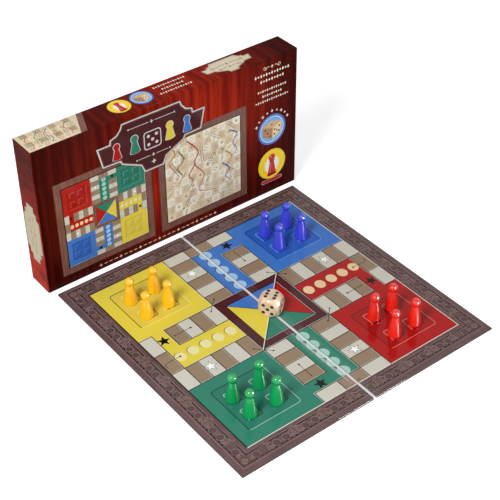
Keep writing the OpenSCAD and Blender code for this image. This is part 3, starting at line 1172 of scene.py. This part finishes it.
def sketch(blank, column, row, x, y, cell):
    """A small drawing in a square's middle: a star, a ring, a triangle or two waves."""
    kind, turn = (column * 3 + row * 7) % 5, math.radians((column * 40 + row * 70) % 180)
    if kind == 0:
        blank.star("motif_tan", x, y, cell * 0.24, points=6)
    elif kind == 2:
        blank.ring("sketch_grey", x, y, cell * 0.2, cell * 0.04)
    elif kind == 3:
        blank.line("sketch_tan", [(x - cell * 0.25, y - cell * 0.2), (x, y + cell * 0.22),
                                  (x + cell * 0.25, y - cell * 0.2)], cell * 0.05, closed=True)
    else:
        for step in (-0.14, 0.14):
            wave = [(x + cell * (0.34 * math.cos(turn) * k / 4 + 0.07 * math.sin(k * 2.2)
                                 + step * 0.5),
                     y + cell * (0.34 * math.sin(turn) * k / 4 + 0.07 * math.cos(k * 2.2)
                                 + step)) for k in range(-4, 5)]
            blank.line("ladder_brown" if kind == 1 else "motif_tan", wave, cell * 0.035)


def ladder(blank, ink, foot, head, cell):
    (ax, ay), (bx, by) = foot, head
    across = Vector((ay - by, bx - ax)).normalized() * cell * 0.15
    rungs = int(math.hypot(bx - ax, by - ay) / (cell * 0.24))
    for k in range(1, rungs):
        x, y = ax + (bx - ax) * k / rungs, ay + (by - ay) * k / rungs
        blank.line(ink, [(x - across.x, y - across.y), (x + across.x, y + across.y)],
                   cell * 0.04)
    for s in (-1, 1):
        blank.line(ink, [(ax + s * across.x, ay + s * across.y),
                         (bx + s * across.x, by + s * across.y)], cell * 0.05)


def wound(points, steps):
    """A smooth curve through the points."""
    curve = []
    for i in range(len(points) - 1):
        a, b = points[max(i - 1, 0)], points[i]
        c, d = points[i + 1], points[min(i + 2, len(points) - 1)]
        for k in range(steps):
            t = k / steps
            curve.append(tuple(
                0.5 * (2 * q + (r - p) * t + (2 * p - 5 * q + 4 * r - s) * t * t
                       + (3 * q - p - 3 * r + s) * t ** 3)
                for p, q, r, s in zip(a, b, c, d)))
    return curve + [points[-1]]


def framed(picture, half, band, scale=1.0):
    """A game's picture with its wooden border round it."""
    blank = Blank()
    blank.frame(square(half + band), square(half), "frame_wood")
    for ink, r, width in (("border_line", half + band - 0.3, 0.5),
                          ("border_short", half + band * 0.3, 0.6),
                          ("border_line", half + 0.4, 0.7)):
        blank.line(ink, square(r), width, closed=True)
    blank.put(picture, lambda x, y: (x * scale, y * scale))
    return blank


def lay_snakes_print(thick=0.3, rail=12):
    """The underside: the other game, printed to be seen from below, in two halves."""
    blank = Blank()
    w, d, half = BOARD_HALF_W - thick, BOARD_HALF_D - thick, FIELD_HALF
    blank.rect("border_band", -w, -d, 0, d)
    blank.rect("border_band", 0, -d, w, d)
    blank.frame(square(w, d), square(w - rail, d - rail), "border_long", "border_short")
    for r, ink in ((w - rail, "border_line"), (w - rail - 4, "border_relief"),
                   (half + 6, "border_line")):
        blank.line(ink, square(r), 0.8, closed=True)
    for k in range(-11, 12):
        for s in (-1, 1):
            x, y = k * 15.6, s * (half + 12.5)
            blank.star("border_relief", x, y, 3.4, points=4)
            blank.star("border_relief", y, x, 3.4, points=4)
    blank.shapes += snakes_field(half).shapes
    mirrored = Blank()
    mirrored.put(blank, lambda x, y: (-x, y))
    cut = mirrored.cut()
    for side, sign in HALVES:
        piece = printed_plate(f"snakes_print_{side}", cut, sign, 0, 0.0, -thick * MM,
                              "paper_white")
        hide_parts(f"snakes_sheet_{side}")
        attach(piece, f"board_{side}")


def fold_strip(name, half, low, high, material, gap_steps=16, long_steps=60):
    """A strip along the fold, divided finely over the gap."""
    gap = FOLD_HALF
    across = [-gap + 2 * gap * k / gap_steps for k in range(gap_steps + 1)]
    if half > gap + 1:
        across = [-half, -(half + gap) / 2] + across + [(half + gap) / 2, half]
    along = [-BOARD_HALF_D + 2 * BOARD_HALF_D * k / long_steps for k in range(long_steps + 1)]
    bm = bmesh.new()
    lower, upper = ([[bm.verts.new(board_place(z)(x, y)) for x in across] for y in along]
                    for z in (low, high))
    last_x, last_y = len(across) - 1, len(along) - 1
    for j in range(last_y):
        for i in range(last_x):
            bm.faces.new((upper[j][i], upper[j][i + 1], upper[j + 1][i + 1], upper[j + 1][i]))
            bm.faces.new((lower[j][i], lower[j + 1][i], lower[j + 1][i + 1], lower[j][i + 1]))
        for i in (0, last_x):
            bm.faces.new((lower[j][i], upper[j][i], upper[j + 1][i], lower[j + 1][i]))
    for i in range(last_x):
        for j in (0, last_y):
            bm.faces.new((lower[j][i], upper[j][i], upper[j][i + 1], lower[j][i + 1]))
    bmesh.ops.recalc_face_normals(bm, faces=bm.faces)
    for face in bm.faces:
        face.smooth = abs(face.normal.z) > 0.5
    return link_object(name, finish_mesh(bm, name, [material]))


def lay_fold():
    backing = fold_strip("fold_backing", FOLD_HALF, 0.3 * MM, 0.6 * MM, fold_white())
    tape = fold_strip("fold_tape", TAPE_HALF, TAPE_LOW.z + 0.06 * MM, TAPE_HIGH.z,
                      clear_tape())
    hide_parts("hinge_tape_left", "hinge_tape_right")
    for piece in (backing, tape):
        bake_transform(piece)


# ---------------------------------------------------------------- die

def set_die():
    """The die: its CAD shape with every edge worn round, and paint in its drilled pips."""
    mesh = bpy.data.objects["die_body"].data.copy()
    facing_out(mesh)
    body = link_object("die_turned", mesh)
    remesh = body.modifiers.new("even_skin", "REMESH")
    remesh.mode = "VOXEL"
    remesh.voxel_size = 0.28 * MM
    remesh.use_smooth_shade = True
    soften = body.modifiers.new("worn_edges", "SMOOTH")
    soften.factor, soften.iterations = 0.5, 7
    body.data = applied(body)
    body.data.materials.clear()
    body.data.materials.append(die_wood())
    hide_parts("die_body")
    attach(body, "die")
    tree = new_group(pip_paint_plugs, {
        "Geometry": "Geometry", "Spots": "Object", "Radius": 0.00245, "Depth": 0.0009,
        "Above Face": 0.00003, "Bowl": 0.0005, "Sides": 28, "Paint": "Material"},
        "GeometryNodeTree")
    spots = link_object("pip_spots", pip_spots())
    paint = grown(tree, "pip_paint", Spots=spots, Paint=pip_paint())
    bpy.data.objects.remove(spots)
    facing_out(paint)
    dots = link_object("pip_paint", paint)
    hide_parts("die_pips")
    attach(dots, "die")


def pip_spots(yaw=32):
    """A point on the die's face over every drilled pip, with its outward direction."""
    low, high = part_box("die_body")
    centre, half = (low + high) / 2, (high.z - low.z) / 2
    turn = Matrix.Rotation(math.radians(yaw), 3, "Z")
    bm = bmesh.new()
    bm.from_mesh(bpy.data.objects["die_pips"].data)
    bmesh.ops.remove_doubles(bm, verts=bm.verts, dist=1e-6)
    seen, places, facings = set(), [], []
    for first in bm.verts:
        island = [] if first in seen else [first]
        for v in island:
            near = [e.other_vert(v) for e in v.link_edges]
            seen.add(v)
            island += [n for n in near if n not in seen and n not in island]
        if not island:
            continue
        mid = sum((v.co for v in island), Vector()) / len(island)
        local = turn.inverted() @ (mid - centre)
        axis = max(range(3), key=lambda i: abs(local[i]))
        out = Vector((0, 0, 0))
        out[axis] = math.copysign(1, local[axis])
        local[axis] = out[axis] * half
        places.append(centre + turn @ local)
        facings.append(turn @ out)
    bm.free()
    mesh = bpy.data.meshes.new("pip_spots")
    mesh.from_pydata(places, [], [])
    facing = mesh.attributes.new("facing", "FLOAT_VECTOR", "POINT")
    facing.data.foreach_set("vector", [c for f in facings for c in f])
    return mesh


def pip_paint_plugs(tree, given):
    """A hollowed plug of paint in each pip."""
    radius, depth = given["Radius"], given["Depth"]
    plug = add(tree, "GeometryNodeMeshCylinder", setup={"fill_type": "TRIANGLE_FAN"},
               Vertices=given["Sides"], Fill_Segments=6, Radius=radius, Depth=depth)
    x, y, z = axes(tree, add(tree, "GeometryNodeInputPosition"))
    share = (x * x + y * y) / (radius * radius)
    sag = z.above(0.0) * given["Bowl"] * (1.0 - share.smooth(0.1, 0.75))
    down = add(tree, "ShaderNodeCombineXYZ", Z=given["Above Face"] - depth * 0.5 - sag)
    hollow = add(tree, "GeometryNodeSetPosition", Geometry=plug, Offset=down)
    spots = add(tree, "GeometryNodeObjectInfo", out="Geometry", Object=given["Spots"])
    facing = add(tree, "GeometryNodeInputNamedAttribute", out="Attribute",
                 setup={"data_type": "FLOAT_VECTOR"}, Name="facing")
    turned = add(tree, "FunctionNodeAlignRotationToVector", setup={"axis": "Z"},
                 Vector=facing)
    many = add(tree, "GeometryNodeInstanceOnPoints", Points=spots, Instance=hollow,
               Rotation=turned)
    real = add(tree, "GeometryNodeRealizeInstances", Geometry=many)
    return inked(tree, real, given["Paint"])


# ---------------------------------------------------------------- carton

CREASE_R = 1.2
RUN = (CARTON_H, CARTON_H + CARTON_D, 2 * CARTON_H + CARTON_D)
SEAM = -(CARTON_D - CARTON_T)


def sleeve_point(x, s):
    """A point of the flat blank, in millimetres, on the outside of the glued sleeve.
    s is 0 at the front's lower edge and runs up the front, over the top and down the back."""
    h, d, r = CARTON_H, CARTON_D, CREASE_R
    corners = ((0, 0, 0, (0, -1), (-1, 0)), (h, 0, h, (-1, 0), (0, 1)),
               (h + d, d, h, (0, 1), (1, 0)))
    for at, y, z, first, then in corners:
        if abs(s - at) < r:
            a = (s - at + r) / (2 * r) * math.pi / 2
            y += r * (1 if y == 0 else -1) + r * (first[0] * math.cos(a) + then[0] * math.sin(a))
            z += r * (1 if z == 0 else -1) + r * (first[1] * math.cos(a) + then[1] * math.sin(a))
            break
    else:
        y, z = (-s, 0) if s < 0 else (0, s) if s < h else \
            (s - h, h) if s < h + d else (d, 2 * h + d - s)
    return Vector((x * MM, CARTON_Y0 + y * MM, z * MM))


def badge(blank, x, y, r, rim, inner, glow):
    """A badge's rings. Gives the unit in which its picture is drawn."""
    for ink, reach in (("line_dark", r + 0.5), (rim, r), (glow, r * 0.86), (inner, r * 0.82)):
        blank.disc(ink, x, y, reach, 56)
    return r * 0.7


def die_badge(blank, x, y, r):
    s = badge(blank, x, y, r, "badge_blue", "badge_sky", "badge_white")
    for ink, *corners in (("die_mid", (-1, 0.42), (-0.12, 0.86), (1, 0.5), (0.1, 0.08)),
                          ("die_shade", (-1, 0.42), (0.1, 0.08), (0.02, -1), (-0.94, -0.5)),
                          ("die_light", (0.1, 0.08), (1, 0.5), (0.94, -0.5), (0.02, -1))):
        blank.poly(ink, x, y, s, *corners)
    blank.disc("star_black", x - 0.02 * s, y + 0.46 * s, 0.09 * s, 14, 0.6)
    for size, *spots in ((0.085, (0.28, -0.1), (0.78, 0.1), (0.52, -0.24), (0.26, -0.56),
                          (0.76, -0.4)), (0.08, (-0.7, 0.1), (-0.45, -0.24), (-0.2, -0.6))):
        for u, v in spots:
            blank.disc("star_black", x + u * s, y + v * s, size * s, 12)


def pawn_badge(blank, x, y, r):
    u = badge(blank, x, y, r, "badge_yellow", "badge_yellow", "badge_gold")
    blank.disc("badge_gold", x, y - 0.05 * r, r * 0.6, 36)
    blank.disc("badge_white", x, y - 0.05 * r, r * 0.52, 36)
    blank.poly("pawn_red", x, y, u, (-0.5, -1.1), (0.5, -1.1), (0.36, -0.6), (0.2, 0.3),
               (-0.2, 0.3), (-0.36, -0.6))
    blank.disc("pawn_red_shade", x, y - 1.06 * u, 0.52 * u, 30, 0.24)
    blank.disc("pawn_red_shade", x, y + 0.28 * u, 0.3 * u, 24, 0.3)
    blank.disc("pawn_red", x, y + 0.62 * u, 0.34 * u, 30)
    blank.disc("pawn_red_light", x - 0.1 * u, y + 0.74 * u, 0.1 * u, 12)
    blank.poly("pawn_red_light", x, y, u, (-0.24, -0.9), (-0.14, -0.9), (-0.06, 0.2),
               (-0.11, 0.2))


def ribbon(blank, x, y, half, height):
    for ink, rim, r in (("silver", 0, 0.45), ("ribbon", 0.5, 0.4)):
        blank.rounded(ink, x - half + rim, y - height / 2 + rim, x + half - rim,
                      y + height / 2 - rim, height * r)


def flourish(blank, ink, x, y, half, width=1.0):
    """A ruled ornament: a diamond between two waves that end in curls."""
    blank.star(ink, x, y, width * 2.6, points=4)
    for s in (-1, 1):
        wave = [(x + s * (width * 3.6 + (half - width * 6) * k / 10),
                 y + width * 0.9 * math.sin(math.pi * k / 5)) for k in range(11)]
        blank.line(ink, wave, width * 0.8)
        low = 180 if s > 0 else 0
        blank.line(ink, on_disc(x + s * (half - width * 2), y, width * 1.2, low,
                                low - s * 320, 12, 0.8), width * 0.7)


PLAQUE_HALF = ((0, 1.0), (0.54, 1.0), (0.57, 0.84), (0.64, 0.68), (0.76, 0.6), (0.77, 0.46),
               (1.0, 0.46), (0.92, -0.26), (0.61, -0.28), (0.58, -0.4), (0.24, -0.72),
               (0.18, -1.0))


def plaque(blank, x, y, w, h, fill="plaque_maroon", edge="silver", band=2.0):
    """A stepped plaque: a raised middle between two slanted wings, over a narrowing foot."""
    right = [(px * w / 2, py * h / 2) for px, py in PLAQUE_HALF]
    ring = right + [(-px, py) for px, py in reversed(right[1:])]

    def outline(grow):
        moved = []
        for k, (px, py) in enumerate(ring):
            before, after = ring[k - 1], ring[(k + 1) % len(ring)]
            one = Vector((py - before[1], before[0] - px)).normalized()
            two = Vector((after[1] - py, px - after[0])).normalized()
            away = (one + two) / (1 + one.dot(two))
            moved.append((x + px - away.x * grow, y + py - away.y * grow))
        return moved

    for ink, grow in (("line_dark", 0.6), (edge, 0), (fill, -band)):
        blank.shape(ink, outline(grow))
    blank.line("plaque_line", outline(-band - 1.2), 0.4, closed=True)


def plaque_ornament(blank, x, y):
    """A row of pawns beside a die, between two ruled lines."""
    blank.rounded("silver", x - 14, y - 11, x + 14, y + 17, 4.5)
    blank.rounded("plaque_maroon", x - 12.4, y - 9.4, x + 12.4, y + 15.4, 3.4)
    for dx, dy in ((-6.4, -3.4), (6.4, -3.4), (-6.4, 9.4), (6.4, 9.4), (0, 3)):
        blank.disc("silver", x + dx, y + dy, 2.5, 18)
    for k, ink in ((-2, "red_home"), (-1, "green_home"), (1, "yellow_home"), (2, "blue_home")):
        px, u = x + k * 28, 1.8 - 0.17 * abs(k)
        for shade, out in (("silver", 1.0), (ink, 0.0)):
            blank.shape(shade, [(px - 4.6 * u - out, y - 5 * u - out + 2),
                                (px + 4.6 * u + out, y - 5 * u - out + 2),
                                (px + 1.7 * u + out, y + 6 * u + 2),
                                (px - 1.7 * u - out, y + 6 * u + 2)])
            blank.disc(shade, px, y + 7.4 * u + 2, 3.3 * u + out, 28)
            blank.disc(shade, px, y - 5 * u + 2, 4.6 * u + out, 28, 0.34)
    for dy, reach in ((-21, 24), (31, 34)):
        for s in (-1, 1):
            blank.line("silver", [(x + s * 5, y + dy), (x + s * reach, y + dy)], 0.9)
            blank.disc("silver", x + s * (reach + 2.4), y + dy, 1.3, 14)
        blank.star("silver", x, y + dy, 3.2, points=4)
    blank.star("silver", x, y - 32, 4.4, points=4)


def beads(blank, x, y, half, height, ink="badge_white"):
    """A row of beads: lozenges and discs in turn."""
    step = height * 0.8
    count = int(half / step)
    for k in range(-count, count + 1):
        bx, r = x + k * step, height / 2
        if k % 2:
            blank.disc(ink, bx, y, r * 0.5, 12)
        else:
            blank.shape(ink, [(bx - r * 0.6, y), (bx, y - r), (bx + r * 0.6, y), (bx, y + r)])


def carton_picture():
    """The whole blank as printed, laid out flat."""
    blank = Blank()
    cuts = [SEAM]
    for at in (0, *RUN[:2]):
        cuts += [at + CREASE_R * k / 3 for k in range(-3, 4)]
    cuts.append(RUN[2])
    w = SLEEVE_HALF
    for a, b in zip(cuts, cuts[1:]):
        blank.rect("carton_wood", -w, a, 0, b)
        blank.rect("carton_wood", 0, a, w, b)
    # the front: both games' boards, the plaque over them, and the column at their right
    field = ludo_field(("green", "yellow", "blue", "red"), 1.0, ("frame_wood", "frame_wood"))
    ludo = framed(field, 64.0, 10.8, 0.3675)
    snakes = framed(snakes_field(64.0), 64.4, 11.0)
    blank.put(ludo, lambda x, y: (x - 113.8, y + 90))
    blank.put(snakes, lambda x, y: (x + 47, y + 90.6))
    plaque(blank, -34, 171, 172, 88)
    plaque_ornament(blank, -34, 171)
    die_badge(blank, 168.4, 108.4, 24.8)
    for k in range(9):
        a = math.radians(25 + 130 * k / 8)
        blank.star("badge_white", 168.4 + 31 * math.cos(a), 108.4 + 31 * math.sin(a),
                   2.3 if k % 2 else 3.0, points=4)
    pawn_badge(blank, 168.6, 49, 25)
    ribbon(blank, 168.6, 20.6, 19, 6)
    flourish(blank, "square_ochre", 168, 212, 15, 1.3)
    for y, half, height in ((202, 30, 6), (192.5, 22, 6), (177, 25, 5), (168.5, 17, 5),
                            (160, 28, 5)):
        beads(blank, 168, y, half, height)
    for k in range(25):
        x = -130 + 194 * k / 24
        if k % 4:
            blank.line("red_spot", [(x - 2.6, 7.6), (x + 2.6, 7.6)], 1.1)
        else:
            blank.star("red_spot", x, 7.6, 2.8, points=4)
    carton_top(blank, w, CARTON_H)
    # the back, drawn as seen from behind and turned over onto the sheet
    back = Blank()
    back.put(snakes, lambda x, y: (x - 118, y + 104))
    back.put(ludo, lambda x, y: (x + 46, y + 104))
    pawn_badge(back, 168, 132, 24)
    die_badge(back, 168, 72, 24)
    plaque(back, -36, 201, 120, 36, "plaque_cream", "plaque_line", 1.2)
    flourish(back, "plaque_line", -36, 203, 42, 1.5)
    blank.put(back, lambda x, y: (-x, RUN[2] - y))
    return blank


def carton_top(blank, w, top):
    """The top panel: a slanted part of the second game, both badges and a plaque."""
    for ink, back_x, front_x in (("frame_wood", -112, -129), ("square_tan", -121, -138)):
        blank.shape(ink, [(-w, top + 1), (front_x, top + 1), (back_x, top + 43), (-w, top + 43)])
    for k in range(8):
        for j in range(4):
            x0, y0 = -w + 2 + k * 10.4 + j, top + 1.6 + j * 10.3
            if x0 + 10.4 < -139 + j * 4.1:
                if (k + j) % 2:
                    blank.rect(("plaque_stone", "square_ochre")[k % 2], x0, y0, x0 + 10.4,
                               y0 + 10.3)
                blank.ring(("ladder_brown", "motif_tan", "sketch_grey")[(k + 2 * j) % 3],
                           x0 + 5, y0 + 5, 2.6, 0.6, 5)
    for k, ink in enumerate(("snake_red", "snake_green", "snake_blue", "snake_ochre",
                             "snake_red")):
        spine = wound([(-203 + 14 * k, top + 6 + 5 * (k % 2)), (-199 + 14 * k, top + 16),
                       (-205 + 14 * k, top + 26), (-196 + 14 * k, top + 38)], 6)
        blank.line(ink, spine, 0.9)
        for x in (-193, -190):
            blank.line("ladder_brown", [(x + 13 * k, top + 8), (x + 4 + 13 * k, top + 32)], 0.5)
    pawn_badge(blank, -66.7, top + 24, 15.8)
    die_badge(blank, -32, top + 24.5, 15.8)
    for y, half in ((34, 27), (25, 19), (16, 25)):
        beads(blank, 18, top + y, half, 5)
    plaque(blank, 108.5, top + 22, 82, 36, "plaque_cream", "plaque_line", 1.2)
    flourish(blank, "plaque_line", 108.5, top + 26, 27, 1.2)
    flourish(blank, "plaque_line", 108.5, top + 17.5, 18, 1.1)


def folded_card(name, cut, place):
    """The cut print folded into shape, as board with a bare inside and inked edges."""
    bm, _, materials = inked_faces(*cut, place, "carton_bare")
    bm.normal_update()
    for face in bm.faces:
        face.smooth = sum(abs(v) > 0.05 for v in face.normal) > 1
    piece = link_object(name, finish_mesh(bm, name, materials))
    board = piece.modifiers.new("board", "SOLIDIFY")
    board.thickness = CARTON_T * MM
    board.offset = -1
    board.use_even_offset = True
    board.material_offset = len(materials)
    return piece


def fold_carton():
    sleeve = folded_card("carton_sleeve", carton_picture().cut(), sleeve_point)
    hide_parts("carton_front_panel", "carton_back_panel", "carton_top_panel",
                "carton_bottom_panel")
    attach(sleeve, "carton")


def closure_picture(half, z0, z1, r):
    """The end panel as printed: across the carton's depth, then upwards."""
    blank = Blank()
    cuts = [-half + r * k / 5 for k in range(6)] + [half - r * k / 5 for k in range(6)][::-1]
    for a, b in zip(cuts, cuts[1:]):
        blank.rect("carton_wood", a, z0, b, z1)
    mid = 88
    steps = [(9, 47), (9, 38.5), (14.5, 37), (14.5, 29), (half - 1.6, 26)]
    right = steps + [(x, -y) for x, y in reversed(steps)]
    outline = right + [(-x, y) for x, y in reversed(right)]

    def at(k):
        return [(x * k, mid + y * (1 - (1 - k) * 0.4)) for x, y in outline]

    blank.shape("border_line", at(1.0))
    # The plaque's fill is its cream darkened: painted shade on the end.
    blank.shape("plaque_stone", at(0.95))
    blank.line("plaque_line", at(0.86), 0.4, closed=True)
    upright = Blank()
    flourish(upright, "plaque_line", 0, 4.5, 30, 1.3)
    flourish(upright, "plaque_line", 0, -4.5, 22, 1.2)
    blank.put(upright, lambda x, y: (y, mid - x))
    return blank


def close_ends(r=1.15):
    """The end panels: printed card whose two upright creases roll inwards."""
    low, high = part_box("closure_right")
    half, outer, mid = (high.y - low.y) / 2 / MM, high.x / MM, (low.y + high.y) / 2
    cut = closure_picture(half, low.z / MM, high.z / MM, r).cut()
    for side, sign in HALVES:
        def place(u, v, sign=sign):
            over = max(0.0, abs(u) - half + r) / r * math.pi / 2
            across = min(abs(u), half - r) + r * math.sin(over)
            return Vector((sign * (outer - r * (1 - math.cos(over))) * MM,
                           mid + sign * math.copysign(across, u) * MM, v * MM))
        piece = folded_card(f"closure_{side}_printed", cut, place)
        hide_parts(f"closure_{side}")
        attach(piece, f"closure_{side}")


def dress_cad_nodes():
    """The bare boards that keep their CAD meshes."""
    pale = bare_board("inner_board", rgb(196, 188, 174), 0.2)
    grey = bare_board("greyboard", rgb(150, 144, 136), 0.35)
    dressed = {"carton_glue_flap": pale}
    for side, _ in HALVES:
        dressed[f"board_core_{side}"] = grey
        for node in ("tuck_tongue_{}", "dust_flap_{}_top", "dust_flap_{}_bottom"):
            dressed[node.format(side)] = pale
    for node, material in dressed.items():
        mesh = bpy.data.objects[node].data
        mesh.materials.clear()
        mesh.materials.append(material)


# ---------------------------------------------------------------- stage and light

def seen_directly(tree):
    """1 for rays from the camera, from mirrors and through clear film, and 0 for others."""
    path = tree.nodes.new("ShaderNodeLightPath")
    seen = Field(tree, path.outputs["Is Camera Ray"])
    for ray in ("Is Glossy Ray", "Is Transmission Ray"):
        seen = seen.math("MAXIMUM", Field(tree, path.outputs[ray]))
    return seen


def lay_floor(half=6, below=0.0003):
    """A pale floor that looks white whatever shade falls on it."""
    mesh = bpy.data.meshes.new("floor")
    mesh.from_pydata([(x, y, -below) for x, y in square(half)], [], [(0, 1, 2, 3)])
    material, tree = new_material("floor")
    shader = tree.nodes["Principled BSDF"]
    shader.inputs["Base Color"].default_value = (0.85, 0.85, 0.85, 1)
    shader.inputs["Roughness"].default_value = 0.9
    shader.inputs["Specular IOR Level"].default_value = 0.1
    glow = add(tree, "ShaderNodeEmission", Strength=0.6)
    both = add(tree, "ShaderNodeAddShader", shader.outputs[0], glow)
    seen = add(tree, "ShaderNodeMixShader", seen_directly(tree), shader.outputs[0], both)
    feed(tree, tree.nodes["Material Output"].inputs["Surface"], seen)
    mesh.materials.append(material)
    link_object("floor", mesh)


def light_studio():
    scene = bpy.context.scene
    scene.world = scene.world or bpy.data.worlds.new("world")
    scene.world.use_nodes = True
    sky = scene.world.node_tree
    background = sky.nodes["Background"]
    background.inputs["Color"].default_value = (1, 1, 1, 1)
    feed(sky, background.inputs["Strength"], seen_directly(sky).choose(1.0, 0.34))
    area_light("key_softbox", (-1.069, -0.389, 1.263), (0, 0, 0), (0.5, 0.5), watts=21)
    area_light("front_softbox", (0.1, -1.6, 0.3), (0, 0, 0.08), (0.8, 0.5), watts=5)
    area_light("low_softbox", (0.25, -0.6, 0.2), (0, 0, 0.02), (0.12, 0.26), watts=15,
               glints_only=True)
    scene.view_settings.view_transform = "Standard"


# ---------------------------------------------------------------- build the set

set_camera()
lay_ludo_print()
lay_border_ornament()
lay_snakes_print()
lay_fold()
set_pawns()
set_die()
fold_carton()
close_ends()
dress_cad_nodes()
lay_floor()
light_studio()
